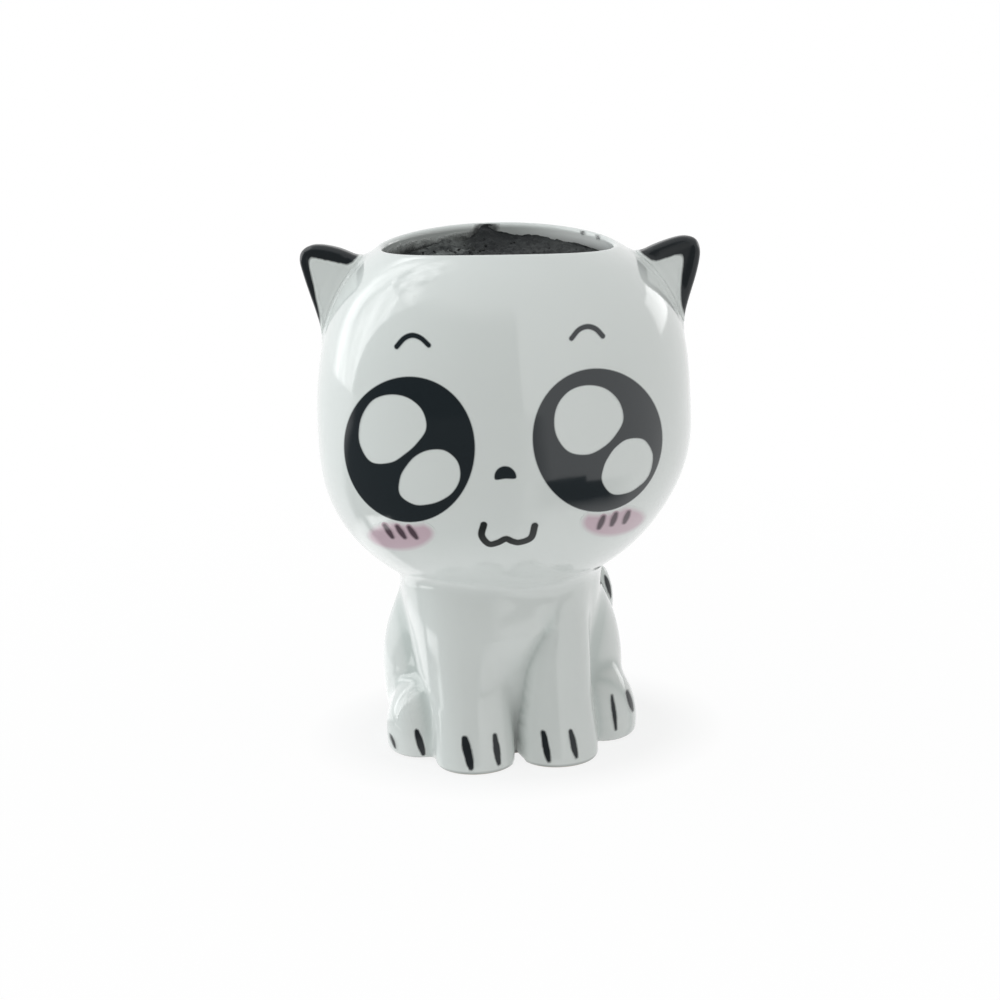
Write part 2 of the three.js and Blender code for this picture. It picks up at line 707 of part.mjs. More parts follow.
// The soil swells in the middle, lies in lumps and is heaped against the back wall
function soilRise(x, y, reach) {
  const swell = SOIL_SWELL.rise * Math.sin(SOIL_SWELL.across * x) * Math.sin(SOIL_SWELL.along * y);
  const ridge = SOIL_RIDGE.rise * Math.sin(SOIL_RIDGE.across * x + SOIL_RIDGE.along * y);
  const heap = SOIL_HEAP * THREE.MathUtils.clamp(y / MOUTH_RADIUS, 0, 1) ** 2 * reach ** 4;
  return SOIL_CROWN * (1 - reach ** 2) + swell + ridge + heap;
}

add(planter, "potting_soil", geometryOf(solid(pottingSoil())), soilBrown);

export default planter;
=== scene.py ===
"""Dresses a ceramic cat planter: glazed forms, a printed face, brushed claws, soil and a studio."""

import json
import math

import bmesh
import bpy
import numpy as np
from bpy.props import FloatProperty, FloatVectorProperty, IntProperty, PointerProperty
from mathutils import Euler, Matrix, Vector, noise

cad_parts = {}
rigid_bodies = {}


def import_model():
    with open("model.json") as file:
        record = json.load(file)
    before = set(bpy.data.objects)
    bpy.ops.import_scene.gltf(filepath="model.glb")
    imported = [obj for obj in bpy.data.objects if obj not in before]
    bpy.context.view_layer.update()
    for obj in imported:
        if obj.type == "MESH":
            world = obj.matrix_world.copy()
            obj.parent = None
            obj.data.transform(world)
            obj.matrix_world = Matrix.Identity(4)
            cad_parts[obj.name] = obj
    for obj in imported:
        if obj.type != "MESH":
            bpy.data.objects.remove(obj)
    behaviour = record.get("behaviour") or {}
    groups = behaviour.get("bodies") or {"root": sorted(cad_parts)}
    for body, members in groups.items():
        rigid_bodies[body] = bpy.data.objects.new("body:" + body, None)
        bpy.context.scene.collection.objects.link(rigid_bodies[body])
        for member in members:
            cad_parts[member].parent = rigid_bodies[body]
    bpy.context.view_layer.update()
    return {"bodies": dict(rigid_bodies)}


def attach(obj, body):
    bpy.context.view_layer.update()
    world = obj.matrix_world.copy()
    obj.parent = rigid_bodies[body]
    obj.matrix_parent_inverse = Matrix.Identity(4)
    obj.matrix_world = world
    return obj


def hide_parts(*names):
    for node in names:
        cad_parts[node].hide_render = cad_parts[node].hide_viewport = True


bl_info = {
    "name": "Cat Planter",
    "version": (1, 0, 0),
    "blender": (4, 5, 0),
    "location": "View3D > Sidebar > Planter",
    "description": "Builds a glazed cat planter with a painted face over its fixed frame",
    "category": "Object",
}

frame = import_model()

MM = 0.001
# The planter moves as one body
(BODY,) = frame["bodies"]


def length(name, description, default):
    """A size in millimetres, kept as a length property in metres."""
    return FloatProperty(name=name, description=description, default=default * MM, unit="LENGTH", precision=5)


def number(name, description, default, unit="NONE"):
    return FloatProperty(name=name, description=description, default=default, unit=unit)


def share(name, description, default):
    return FloatProperty(name=name, description=description, default=default, subtype="FACTOR")


def angle(name, description, default):
    return FloatProperty(name=name, description=description, default=math.radians(default), subtype="ANGLE")


def colour(name, description, default):
    return FloatVectorProperty(
        name=name, description=description, default=default, size=3, min=0, max=1, subtype="COLOR"
    )


class PlanterHeadSizes(bpy.types.PropertyGroup):
    radius: length("Radius", "Radius of the head's widest ring", 47.25)
    cheek_height: length("Cheek height", "Height of the widest ring over the foot", 77.3)
    crown_rise: length("Crown rise", "Rise of the closed crown over the widest ring", 55.4)
    crown_power: number("Crown power", "Squareness of the crown", 3)
    chin_drop: length("Chin drop", "Drop of the closed chin under the widest ring", 40.2)
    chin_power: number("Chin power", "Squareness of the chin", 1.9)
    soften: length("Soften", "How far the crown's curve runs into the chin's", 5)
    wall: length("Wall", "Thickness of the cast wall", 4.2)
    lip_wall: length("Lip wall", "Thickness of the wall at the lip", 2.2)
    lip_run: length("Lip run", "Way from the lip over which the wall thickens", 16)
    mouth_radius: length("Mouth radius", "Radius of the lip's outer edge", 30.4)
    collar: length("Collar", "Way that the wall goes straight down inside the lip", 3)
    neck_bore: length("Neck bore", "Radius of the way from the head into the body", 19)
    lean: share("Lean", "Rise of the head for each unit to its left", 0.054)
    saddle: length("Saddle", "How far the rim sags at its sides", 0.97)
    rim_tilt: share("Rim tilt", "Rise of the rim for each unit to the right", 0.022)
    rim_rise: length("Rim rise", "Rise of the rim as it set in the kiln", 0.5)
    neck_shift: length("Neck shift", "Place of the chin beside the crown's axis", -2.4)
    ripple: length("Ripple", "Unevenness of the cast surface", 0.1)


class PlanterBodySizes(bpy.types.PropertyGroup):
    turn: angle("Turn", "Turn of the body under the head", 4)
    neck_radius: length("Neck radius", "Radius of the neck", 26)
    trunk_radius: length("Trunk radius", "Radius of the trunk at its fullest", 24.6)
    trunk_back: length("Trunk back", "How far the trunk sits behind the axis", 4.2)
    foot_radius: length("Foot radius", "Radius of the trunk at the foot", 24)
    trunk_waist: length("Trunk waist", "Height at which the trunk is fullest", 16)
    paw_swell: length("Paw swell", "How far a front paw swells beyond its leg", 0.7)
    breast: length("Breast", "Blend of the cat's left foreleg into the chest", 6)
    valley: length("Valley", "How deep the groove between the forelegs is pressed in", 1.3)
    groove: length("Groove", "Width of the blend between the left foreleg and what is beside it", 1.8)
    shoulder: length("Shoulder", "Width of the blend between the right foreleg and the chest", 12)
    blend: length("Blend", "Width of the blend between the other forms", 3.8)
    instep: length("Instep", "Width of the blend between the haunches and the hind paws", 3)
    seam: length("Seam", "Width of the glaze that fills the neck's seam", 2.4)
    foot_round: length("Foot round", "Rounding of the foot's edge", 1.1)


class PlanterEarSizes(bpy.types.PropertyGroup):
    thickness: length("Thickness", "Thickness of an ear at its root", 7.6)
    tip_share: share("Tip share", "Thickness of the tip as a share of the root's", 0.55)
    edge_round: length("Edge round", "Rounding of an ear's edges", 1.7)
    setback: length("Setback", "How far the ears stand behind the axis", 1)
    hollow: length("Hollow", "Depth of the hollow in an ear's face", 0.3)
    blend: length("Blend", "Width of the fillet between an ear and the head", 2.6)


class PlanterTailSizes(bpy.types.PropertyGroup):
    root_radius: length("Root radius", "Radius of the tail at its root", 5.2)
    tip_radius: length("Tip radius", "Radius of the tail before its tip", 3.4)


class PlanterSoilSizes(bpy.types.PropertyGroup):
    depth: length("Depth", "Depth of the soil's edge under the lip", 5.2)
    back_rise: length("Back rise", "How far the soil is heaped against the back wall", 2.8)
    grain: length("Grain", "Height of the soil's grain", 0.5)
    crumbs: IntProperty(name="Crumbs", description="Number of loose crumbs on the soil", default=320, min=0)


class PlanterFinish(bpy.types.PropertyGroup):
    glaze: colour("Glaze", "White glaze", (0.79, 0.82, 0.805))
    # Pooled glaze in creases, darker there also as painted shade
    glaze_pool: colour("Pooled glaze", "White glaze where it pools in creases", (0.64, 0.69, 0.67))
    # Painted light: the lighter white laid on the wall inside the lip, on the cat's left
    rinsed: colour("Rinsed glaze", "White glaze inside the lip, rinsed by water", (0.96, 0.97, 0.96))
    bisque: colour("Bisque", "Bare clay under the foot", (0.62, 0.55, 0.46))
    bisque_pale: colour("Pale bisque", "Paler grains of the bare clay", (0.7, 0.64, 0.55))
    black: colour("Black", "Black brushed glaze", (0.017, 0.021, 0.024))
    eye: colour("Eye", "Black of the eyes, brows and nose", (0.010, 0.016, 0.020))
    eye_pale: colour("Pale eye", "The same black where it is thin", (0.016, 0.024, 0.029))
    line: colour("Line", "Black of the mouth's line", (0.017, 0.020, 0.020))
    line_pale: colour("Pale line", "The mouth's black where it is thin", (0.024, 0.028, 0.027))
    blush: colour("Blush", "Pink of the cheeks", (0.62, 0.465, 0.53))
    blush_pale: colour("Pale blush", "Pink of the cheeks where it is thin", (0.64, 0.51, 0.565))
    stroke: colour("Stroke", "Strokes on the cheeks", (0.085, 0.055, 0.072))
    stroke_pale: colour("Pale stroke", "Strokes on the cheeks where they are thin", (0.12, 0.08, 0.10))
    soil: colour("Soil", "Damp potting soil", (0.017, 0.019, 0.020))
    # Dry soil; also the colour of the dust and painted shade inside the lip and of the painted shadow at the
    # foot
    soil_dry: colour("Dry soil", "Dry crumbs of soil", (0.19, 0.20, 0.195))


class PlanterStudio(bpy.types.PropertyGroup):
    lens: number("Lens", "Focal length", 89.7, unit="CAMERA")
    distance: length("Distance", "Distance of the camera before the axis", 618)
    height: length("Height", "Height of the camera over the foot", 212.9)
    pitch: angle("Pitch", "How far the camera looks down", 13.79)
    yaw: angle("Yaw", "How far the camera looks to the left", 0.172)
    roll: angle("Roll", "Turn of the camera about its own axis", -2.2)
    window: number("Window", "Power of the window light", 5, unit="POWER")
    room: number("Room", "Power of the light from the room at the left", 1.8, unit="POWER")
    top: number("Top", "Power of the top light", 2.6, unit="POWER")
    side: number("Side", "Power of the light beside the camera", 2, unit="POWER")
    fill: number("Fill", "Strength of the light from all round", 0.34)


# Shapes of the marks, in millimetres on the front plane: x to the cat's left, z up from the foot
EYES = {
    "right": ((-23.13, 83.90), (18.58, 15.65), 65.5),
    "left": ((22.30, 84.50), (18.31, 15.51), 113.6),
}
GLINTS = {
    "right": (
        [(-18.64, 89.9), (-19.41, 94.06), (-22.56, 96.66), (-26.68, 97.08), (-30.74, 95.46), (-33.44, 91.99),
         (-34.73, 88.08), (-34.67, 83.92), (-32.2, 80.45), (-27.43, 81.06), (-23.84, 83.59), (-21.05, 86.25)],
        [(-11.13, 78.21), (-11.5, 82.04), (-14.26, 84.56), (-17.91, 84.56), (-21.0, 83.07), (-23.29, 80.61),
         (-25.1, 77.37), (-25.38, 73.22), (-22.17, 71.11), (-18.51, 71.52), (-15.49, 72.79), (-12.83, 74.91)],
    ),
    "left": (
        [(28.11, 89.08), (27.2, 93.47), (24.09, 96.94), (19.94, 98.32), (15.95, 97.69), (13.07, 95.08),
         (11.9, 91.32), (12.44, 87.16), (15.08, 83.43), (19.42, 82.24), (23.21, 83.45), (26.06, 85.71)],
        [(35.06, 75.77), (35.2, 79.21), (33.09, 82.91), (29.26, 83.88), (26.46, 82.62), (24.73, 80.77),
         (23.43, 78.46), (22.88, 74.98), (25.16, 71.34), (29.0, 70.66), (31.83, 71.63), (33.93, 73.19)],
    ),
}
BROWS = {
    "right": [(-24.8, 108.4), (-22.9, 110.4), (-20.9, 111.2), (-18.9, 110.7), (-17.1, 109.2)],
    "left": [(16.5, 109.6), (18.3, 111.3), (20.4, 111.8), (22.4, 111.0), (24.0, 109.2)],
}
NOSE = [
    (-3, 78.1), (-2.7, 79.6), (-1.7, 80.7), (-0.3, 81.1), (1.1, 80.7), (2.2, 79.5), (2.5, 78.1),
    (1.9, 77.6), (-0.3, 77.7), (-2.4, 77.5),
]
MOUTH = [
    (-5.8, 66.3), (-6.4, 63.3), (-4.8, 60.9), (-2.7, 61.2), (-0.7, 62.2), (0.9, 61.4), (2.6, 61.0),
    (5.3, 62.1), (6.3, 65.4),
]
CHEEKS = {
    "right": ((-26.23, 61.56), (8.55, 4.04), 17.6),
    "left": ((25.72, 63.01), (8.10, 4.16), 163.8),
}
# Strokes on the cheeks, from the nose outwards
CHEEK_STROKES = {
    "right": [[(-23.8, 64.6), (-22.2, 61.9)], [(-26.7, 64.4), (-25.1, 61.6)], [(-29.8, 64.2), (-28.2, 61.1)]],
    "left": [[(22.9, 65.3), (21.8, 62.4)], [(26.0, 65.4), (25.0, 62.5)], [(29.2, 64.9), (28.2, 62.2)]],
}
# Widths of the printed lines and strokes, and how far a cheek's pink fades out past its oval
BROW_WIDTH = 1.5
MOUTH_WIDTH = 1.95
CHEEK_STROKE_WIDTH = 2.25
CHEEK_FADE = 0.7
# Claws in the body's frame: the stroke's two ends and its greatest width
CLAWS = {
    "front_right_outer": [(-12.5, 7.9), (-11.4, 1.6), 2.9],
    "front_right_inner": [(-5.0, 8.0), (-4.4, 1.7), 2.3],
    "front_left_inner": [(7.3, 7.6), (8.1, 1.5), 2.4],
    "front_left_outer": [(14.1, 7.6), (15.1, 1.8), 2.3],
    "hind_right_outer": [(-30.4, 4.6), (-29.6, 1.8), 1.7],
    "hind_right_inner": [(-24.0, 7.2), (-22.7, 1.4), 2.5],
    "hind_left_inner": [(26.2, 11.6), (26.9, 3.2), 1.8],
    "hind_left_outer": [(30.6, 11.2), (32.0, 6.2), 2.0],
}
# The tail's mark as places across the tail and from its tip, its width, and the way that it faces
TAIL_MARK = [(-0.15, 3.0), (0.1, 8.8)]
TAIL_MARK_WIDTH = 2.4
TAIL_MARK_FACING = (0.78, -0.62, 0.0)
# Ears on the plane through the axis: the outline from the top root round the tip to the side root, and the
# three corners of the face that the brush left bare
EARS = {
    "right": (
        [(-29.5, 121.8), (-34.2, 124.6), (-39.6, 127.2), (-44.9, 128.3), (-48.2, 127.4), (-49.5, 125.0),
         (-48.6, 120.4), (-46.5, 113.2), (-44.7, 107.4), (-42.0, 100.5)],
        [(-35.3, 122.4), (-47.0, 125.3), (-44.2, 107.5)],
    ),
    "left": (
        [(29.0, 120.2), (33.7, 122.6), (39.6, 125.3), (45.6, 127.0), (49.2, 126.3), (50.4, 123.4),
         (49.6, 118.6), (47.4, 111.8), (45.4, 106.0), (42.4, 99.4)],
        [(35.3, 120.0), (45.9, 122.7), (43.9, 106.0)],
    ),
}
# Width of the rounding at the bare face's corner, and how far the paint stays off the head and fades there
BARE_CORNER = 2.0
PAINT_OFF, PAINT_FADE = 0.9, 1.6
# Forms of the body in its own frame; the right paws stand further forward than the left
CHEST = ((-2.6, -12.8, 36.5), (14.6, 13.6, 13.4))
FORELEGS = {
    "right": {"spread": -9.5, "radius": 9.7, "paw": 25.2, "top": 13.0},
    "left": {"spread": 11.3, "radius": 9.7, "paw": 23.6, "top": 11.0},
}
HAUNCHES = [((-18.6, 6, 16), (12.6, 16, 25)), ((18.6, 6, 16), (12.6, 16, 25))]
HIND_PAWS = [((-22.6, -8.6, 4), (8.8, 11.8, 14)), ((24.2, -4.6, 4), (9.2, 11.8, 14))]
# The tail's centre line in the body's frame, with its heights as shares of the neck's height
TAIL = [
    (0, 20, 0.155), (9, 28, 0.19), (18.6, 26.5, 0.29), (25.4, 20, 0.49), (26.7, 14, 0.69), (24.7, 11.5, 0.88)
]
# Rows of (radius, height) down the inside of the body, through its drain hole and out to the foot ring
BODY_INSIDE = [(18, 37), (17.5, 34), (17.5, 13), (16, 9), (14, 7.4), (12, 7), (5.4, 7), (5, 6.6)]
BODY_UNDER = [(5, 2.4), (5.6, 1.8), (17.6, 1.8), (18.6, 1.5), (19.0, 0.8), (19.4, 0.2), (20, 0)]
# Rows from the foot up to the neck and from the foot ring out to the foot's edge, as shares of those ways
WAY_UP = 45
FOOT_ROWS = np.array([0.01, 0.06, 0.2, 0.42, 0.7, 1.05, 1.5, 2.1]) / WAY_UP
SKIN_ROWS = np.concatenate([FOOT_ROWS, np.linspace(2.9 / WAY_UP, 1, 78)])
FOOT_RING = BODY_UNDER[-1][0]
SOLE_ROWS = (0.3, 0.6, 0.85)
# Rows that tuck the neck's edge under the head: how far over the edge, and how deep
TUCKS = ((0.6, 0.06), (0.3, 1.2))
# Lowest and highest place of the neck's edge, the steps between, and how far the glaze may stand off the chin
NECK_SCAN = (38, 56, 91)
NECK_SKIN = 0.008
# Rows of the soil inside the body, and how far the soil stays off the wall and beds into it at its edge
SOIL_INSIDE = [(17.8, 41), (17.8, 37), (17.2, 34), (17.2, 13), (15.7, 9.3), (13.7, 7.7), (12, 7.3), (0, 7.3)]
SOIL_CLEARANCE, SOIL_BED = 0.15, 0.12
# Dust with painted shade, painted light and soil stains on the wall inside the lip, each as a place across
# the mouth and a width. Where the width is below 0, the mark is on the cat's right of that place
DUST_AND_SHADE, PAINTED_LIGHT, STAINED = (6, -6), (13, 4), (-7, -3)
CLUMP, SPREAD = (-2.7, 3.3), (-6.5, 4.5)
# Specks there: place across the mouth and depth under the lip
SPECKS = ((21.8, 1.5), (25.6, 1.7))
SPECK = 0.6
# Edges of the dry soil at the cat's right and the half-dry soil at its left, in the same way
DRY, HALF_DRY = (-8, -2), (5, 3)
# Crumbs: how far out they lie, the least and greatest size, and how much larger they are at the clump
CRUMB_REACH = 26.0
CRUMB_SIZE = (0.2, 0.55)
CLUMP_CRUMBS = 1.5

# Steps round each turned piece, and rows along it
HEAD_STEPS, BODY_STEPS, TAIL_STEPS, SOIL_STEPS = 192, 240, 40, 150
HEAD_ROWS, INNER_ROWS, LIP_ROWS, SOIL_ROWS, SOIL_WALL_ROWS = 104, 44, 14, 44, 24
# How far a mark's underside and its face lie off the glaze, and the same for a mark on another
FILM = (0.012, 0.05)
SECOND_FILM = (0.06, 0.09)
# Angles past which an edge is sharp
FILM_EDGE, BORDER_EDGE, CRUMB_EDGE = 50, 60, 40
# Margin round a mark's points and pitch of its grid
STROKE_GRID, NOSE_GRID, TAIL_GRID, CHEEK_STROKE_GRID = (1.5, 0.2), (0.5, 0.2), (1.5, 0.25), (1.4, 0.16)
OVAL_MARGIN, EYE_PITCH, CHEEK_PITCH = 1, 0.5, 0.3
# Points from knot to knot of a printed line, and along a brushed one
PRINT_STEPS, GLINT_STEPS = 8, 10
TAIL_MARK_POINTS, CHEEK_STROKE_POINTS, CLAW_POINTS = 12, 8, 14
# The material of each finish, and the slot that it stands for
WHITE = ("ceramic_white", "white_glaze")
BRUSHED = ("brushed_black", "black_glaze")
EYE_PRINT = ("printed_eye", "eye_transfer")
BLACK_PRINT = ("printed_eye", "black_glaze")
LINE_PRINT = ("printed_line", "black_glaze")
BLUSH_PRINT = ("printed_blush", "blush")
STROKE_PRINT = ("printed_stroke", "blush_stroke")
EARTH = ("damp_soil", "potting_soil")
# Patterns in the finishes: scale per metre, detail, roughness, and stretch along x, y and z
PATTERNS = {
    "cloud": (34, 3),
    "grit": (420, 4, 0.7),
    "smear": (85, 3, 0.5, (1, 1, 1.6)),
    "ripple": (55, 2),
    "orange_peel": (260, 1),
    "bristles": (700, 3, 0.6, (1, 1, 0.18)),
    "brush_wave": (60, 2),
    "print_grain": (1600, 1),
    "print_cloud": (70, 2),
    "soil_grain": (650, 5, 0.72),
    "clods": (150, 3),
    "screen_streaks": (5, 4, 0.65, (1, 1, 0.12)),
}


def floor_patch(ends, fades, radii, height, glow, streak=0.0):
    """A patch low over the floor between two angles, fully seen between the middle two of four radii."""
    return fades, [(*ends, radius, height, seen) for radius, seen in zip(radii, (0, 1, 1, 0))], glow, streak


# The slanting edge between the dark screen and the pale one: angle, height and share seen
SCREEN_EDGE = [(-106, 0.0, 1), (-100, 0.3, 1), (-88, 0.9, 1), (-80, 1.2, 1), (-60, 2.0, 0)]
# Screens that the gloss mirrors besides the white studio: how many degrees each end fades over, then stations
# of (first and last angle about the axis from the camera's side towards the cat's left, radius and height in
# metres, share seen), then the glow and how streaky it is. Bright patches lie over the dark ones
DARK_HEIGHT, BRIGHT_HEIGHT = 0.0004, 0.0005
REFLECTIONS = {
    "dark_screen": (
        (0, 0), [(turn, 11, 1.5, max(z, DARK_HEIGHT), seen) for turn, z, seen in SCREEN_EDGE], 0.09, 0.0
    ),
    "dark_floor": (
        (8, 20),
        [(-122, 25, 0.035, DARK_HEIGHT, 0), (-122, 25, 0.08, DARK_HEIGHT, 1), (-112, 25, 0.5, DARK_HEIGHT, 1),
         (-106, 25, 1.5, DARK_HEIGHT, 1)],
        0.13, 0.0,
    ),
    "shade_ahead": floor_patch((11, 46), (10, 0), (0.1, 0.135, 0.225, 0.235), DARK_HEIGHT, 0.15),
    "shade_beside": floor_patch((46, 82), (0, 20), (0.1, 0.135, 0.195, 0.205), DARK_HEIGHT, 0.15),
    "pale_screen": ((20, 0), [(-145, turn, 1.5, z, seen) for turn, z, seen in SCREEN_EDGE], 1.5, 0.3),
    "bright_screen": (
        (10, 0),
        [(-132, -106, 1.49, 0.0, 1), (-132, -100, 1.49, 0.3, 1), (-138, -88, 1.49, 0.9, 1),
         (-152, -95, 1.49, 1.5, 1), (-152, -95, 1.49, 2.4, 0)],
        3.6, 0.75,
    ),
    "bright_floor": floor_patch((-150, -102), (10, 6), (0.034, 0.046, 0.11, 0.125), BRIGHT_HEIGHT, 1.35, 0.2),
    "bright_end": floor_patch((-100, -70), (6, 6), (0.09, 0.096, 0.118, 0.125), BRIGHT_HEIGHT, 2.2, 0.2),
    "high_screen": (
        (4, 8), [(-121, -74, 1.25, 1.1, 1), (-126, -82, 0.8, 1.45, 0.8), (-130, -95, 0.45, 1.75, 0)], 3.8, 1.0
    ),
    "back_screen": ((3, 3), [(118, 146, 1.5, 0.2, 1), (118, 146, 1.5, 0.6, 1)], 2.6, 0.2),
}
SCREEN_STEPS = 49
# Lamps, named as their powers are: size, place and tint
LAMPS = {
    "window": ((0.8, 1.0), (-0.9, 0.42, 0.5), (0.92, 1.0, 1.02)),
    "room": ((0.9, 0.9), (-0.72, -0.68, 0.32), (0.96, 1.0, 0.99)),
    "top": ((0.8, 0.5), (0.0, -0.15, 1.0), (0.95, 1.0, 1.02)),
    "side": ((1.0, 1.0), (1.15, -0.25, 0.35), (0.98, 1.0, 0.99)),
}
LIT_POINT = (0, 0, 0.07)
FILL_TINT = (1.0, 1.0, 0.97, 1)
FLOOR_TONE = (0.82, 0.83, 0.83, 1)
FLOOR_HALF, FLOOR_DROP = 4, 0.0002
SENSOR = 36


def sums(operation):
    """An operator of a socket and its reflected form."""
    return (
        lambda self, other: self.sum(operation, self, other),
        lambda self, other: self.sum(operation, other, self),
    )


class Value:
    """A shader socket that takes part in sums: each operation adds a Math node."""

    def __init__(self, shade, socket):
        self.shade = shade
        self.socket = socket

    def sum(self, operation, first, second, clamp=False):
        settings = {"operation": operation, "use_clamp": clamp}
        return self.shade.value("Math", settings, {0: first, 1: second})

    __add__, __radd__ = sums("ADD")
    __sub__, __rsub__ = sums("SUBTRACT")
    __mul__, __rmul__ = sums("MULTIPLY")
    __truediv__, __rtruediv__ = sums("DIVIDE")

    def clamped(self):
        return self.sum("ADD", self, 0, clamp=True)

    def ramp(self, low, high):
        """0 up to low, 1 from high, and straight between."""
        return ((self - low) / (high - low)).clamped()


class Shade:
    """Builds the nodes of a material or of the world."""

    def __init__(self, owner):
        owner.use_nodes = True
        self.owner = owner
        self.tree = owner.node_tree
        self.tree.nodes.clear()

    @classmethod
    def material(cls, name):
        return cls(bpy.data.materials.new(name))

    def node(self, kind, settings, sockets):
        made = self.tree.nodes.new("ShaderNode" + kind)
        for key, setting in settings.items():
            setattr(made, key, setting)
        for key, value in sockets.items():
            if isinstance(value, Value):
                self.tree.links.new(value.socket, made.inputs[key])
            else:
                made.inputs[key].default_value = value
        return made

    def value(self, kind, settings, sockets, output=0):
        return Value(self, self.node(kind, settings, sockets).outputs[output])

    def place(self):
        return self.value("TexCoord", {}, {}, "Object")

    def height(self):
        return self.value("SeparateXYZ", {}, {"Vector": self.place()}, "Z")

    def attribute(self, name):
        return self.value("Attribute", {"attribute_name": name}, {}, "Fac")

    def pattern(self, name):
        return self.noise(*PATTERNS[name])

    def noise(self, scale, detail, roughness=0.5, stretch=None):
        where = self.place()
        if stretch:
            where = self.value("Mapping", {}, {"Vector": where, "Scale": stretch})
        sockets = {"Vector": where, "Scale": scale, "Detail": detail, "Roughness": roughness}
        return self.value("TexNoise", {}, sockets, "Fac")

    def blend(self, factor, first, second):
        settings = {"data_type": "RGBA", "clamp_factor": True}
        ends = {6 + i: end if isinstance(end, Value) else (*end, 1) for i, end in enumerate((first, second))}
        return self.value("Mix", settings, {0: factor, **ends}, 2)

    def bump(self, height, distance):
        return self.value("Bump", {}, {"Height": height, "Distance": distance})

    def background_rays(self):
        """1 for the rays that show the background itself, 0 for those that only carry its light."""
        path = self.node("LightPath", {}, {})
        rays = ("Is Camera Ray", "Is Glossy Ray", "Is Transmission Ray")
        return sum(Value(self, path.outputs[ray]) for ray in rays).clamped()

    def layered(self, factor, first, second):
        """One shader over another."""
        return self.value("MixShader", {}, {0: factor, 1: first, 2: second})

    def close(self, kind, surface):
        self.node("Output" + kind, {}, {"Surface": surface})
        return self.owner

    def finish(self, **sockets):
        names = {key.replace("_", " ").title().replace("Ior", "IOR"): value for key, value in sockets.items()}
        return self.close("Material", self.value("BsdfPrincipled", {}, names))


def white_glaze(finish):
    """Glossy white glaze: faint clouds, pools and painted shade in creases, a painted shadow line at the
    foot, bare clay underfoot, and dust, painted shade, painted light and soil stains inside the lip.
    """
    shade = Shade.material("ceramic_white")
    cloud, grit, smear = (shade.pattern(name) for name in ("cloud", "grit", "smear"))
    # Pooled glaze and painted shade in the creases
    pool_and_shade = (shade.attribute("crease") + (cloud - 0.5) * 0.35).clamped()
    white = shade.blend(pool_and_shade, finish.glaze, finish.glaze_pool)
    # Painted light: the wall inside the lip is lighter on the cat's left
    white = shade.blend(shade.attribute("rinsed"), white, finish.rinsed)
    # Dust and painted shade: the wall inside the lip is greyer on the cat's right
    white = shade.blend(shade.attribute("dust") * 0.36, white, finish.soil_dry)
    stain = shade.attribute("stain")
    dirt = (stain * 1.5 + (smear - 0.5) * 2.6 + (grit - 0.5) * 2.2 - 0.55).clamped() * stain.ramp(0.02, 0.3)
    white = shade.blend(dirt * 0.9, white, shade.blend(grit.ramp(0.5, 0.75), finish.soil, finish.soil_dry))
    # Painted shadow: a dark line round the foot where it meets the floor
    painted_foot_shadow = 1 - shade.height().ramp(0.0001, 0.0007)
    white = shade.blend(painted_foot_shadow * 0.6, white, finish.soil_dry)
    bare = 1 - shade.height().ramp(0.00004, 0.00015)
    ripple = shade.pattern("ripple") * 0.7 + shade.pattern("orange_peel") * 0.06
    return shade.finish(
        base_color=shade.blend(bare, white, shade.blend(grit, finish.bisque, finish.bisque_pale)),
        roughness=0.1 + (cloud - 0.5) * 0.05 + bare * 0.6 + dirt * 0.5,
        ior=1.5,
        normal=shade.bump(ripple + dirt * grit * 1.5, 0.0003),
        coat_weight=(0.35 * (1 - bare)).clamped(),
        coat_roughness=0.03,
    )


def brushed_glaze(name, tone, under):
    """Black glaze put on with a brush, drawn out along its edges, with faint bristle streaks."""
    shade = Shade.material(name)
    streak = shade.pattern("bristles")
    cover = (shade.attribute("cover") / 0.6 + (streak - 0.5) * 0.9).ramp(0.1, 0.9)
    return shade.finish(
        base_color=shade.blend(cover, under, tone),
        roughness=0.12 + cover * 0.12 + (streak - 0.5) * 0.1,
        ior=1.4,
        normal=shade.bump(shade.pattern("brush_wave"), 0.0002),
    )


def transfer(name, tone, pale, under, soft, ior=1.5):
    """A fired-on print under the gloss: an even tone with a fine screen grain and a softened edge."""
    shade = Shade.material(name)
    grain = shade.pattern("print_grain")
    cloud = shade.pattern("print_cloud")
    ink = shade.blend((0.25 + (cloud - 0.5) * 0.5 + (grain - 0.5) * 0.3).clamped(), tone, pale)
    return shade.finish(
        base_color=shade.blend(shade.attribute("cover").ramp(0.0, soft), under, ink),
        roughness=0.09 + (cloud - 0.5) * 0.03,
        ior=ior,
        normal=shade.bump(shade.pattern("ripple"), 0.0002),
    )


def potting_soil(finish):
    """Dark damp soil with dry grains and clods."""
    shade = Shade.material("damp_soil")
    grain = shade.pattern("soil_grain")
    clod = shade.pattern("clods")
    loose = shade.attribute("dry")
    dry = (loose * 0.7 + (grain - 0.5) * (0.3 + loose * 2.4) + (clod - 0.5) * (0.3 + loose * 2.0)).clamped()
    return shade.finish(
        base_color=shade.blend(dry, finish.soil, finish.soil_dry),
        roughness=0.92 - (1 - dry) * 0.2,
        ior=1.33,
        normal=shade.bump(grain + clod, 0.0006),
    )


def make_piece(bm, name, look, node=None, sharp=None):
    """Turns a bmesh in millimetres into a piece that rides the body and stands for a node."""
    material, slot = look
    mesh = bpy.data.meshes.new(name)
    bm.to_mesh(mesh)
    bm.free()
    mesh.transform(Matrix.Scale(MM, 4))
    mesh.shade_smooth()
    if sharp is not None:
        mesh.set_sharp_from_angle(angle=math.radians(sharp))
    mesh.materials.append(bpy.data.materials[material])
    made = bpy.data.objects.new(name, mesh)
    bpy.context.scene.collection.objects.link(made)
    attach(made, BODY)
    if node:
        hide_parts(node)


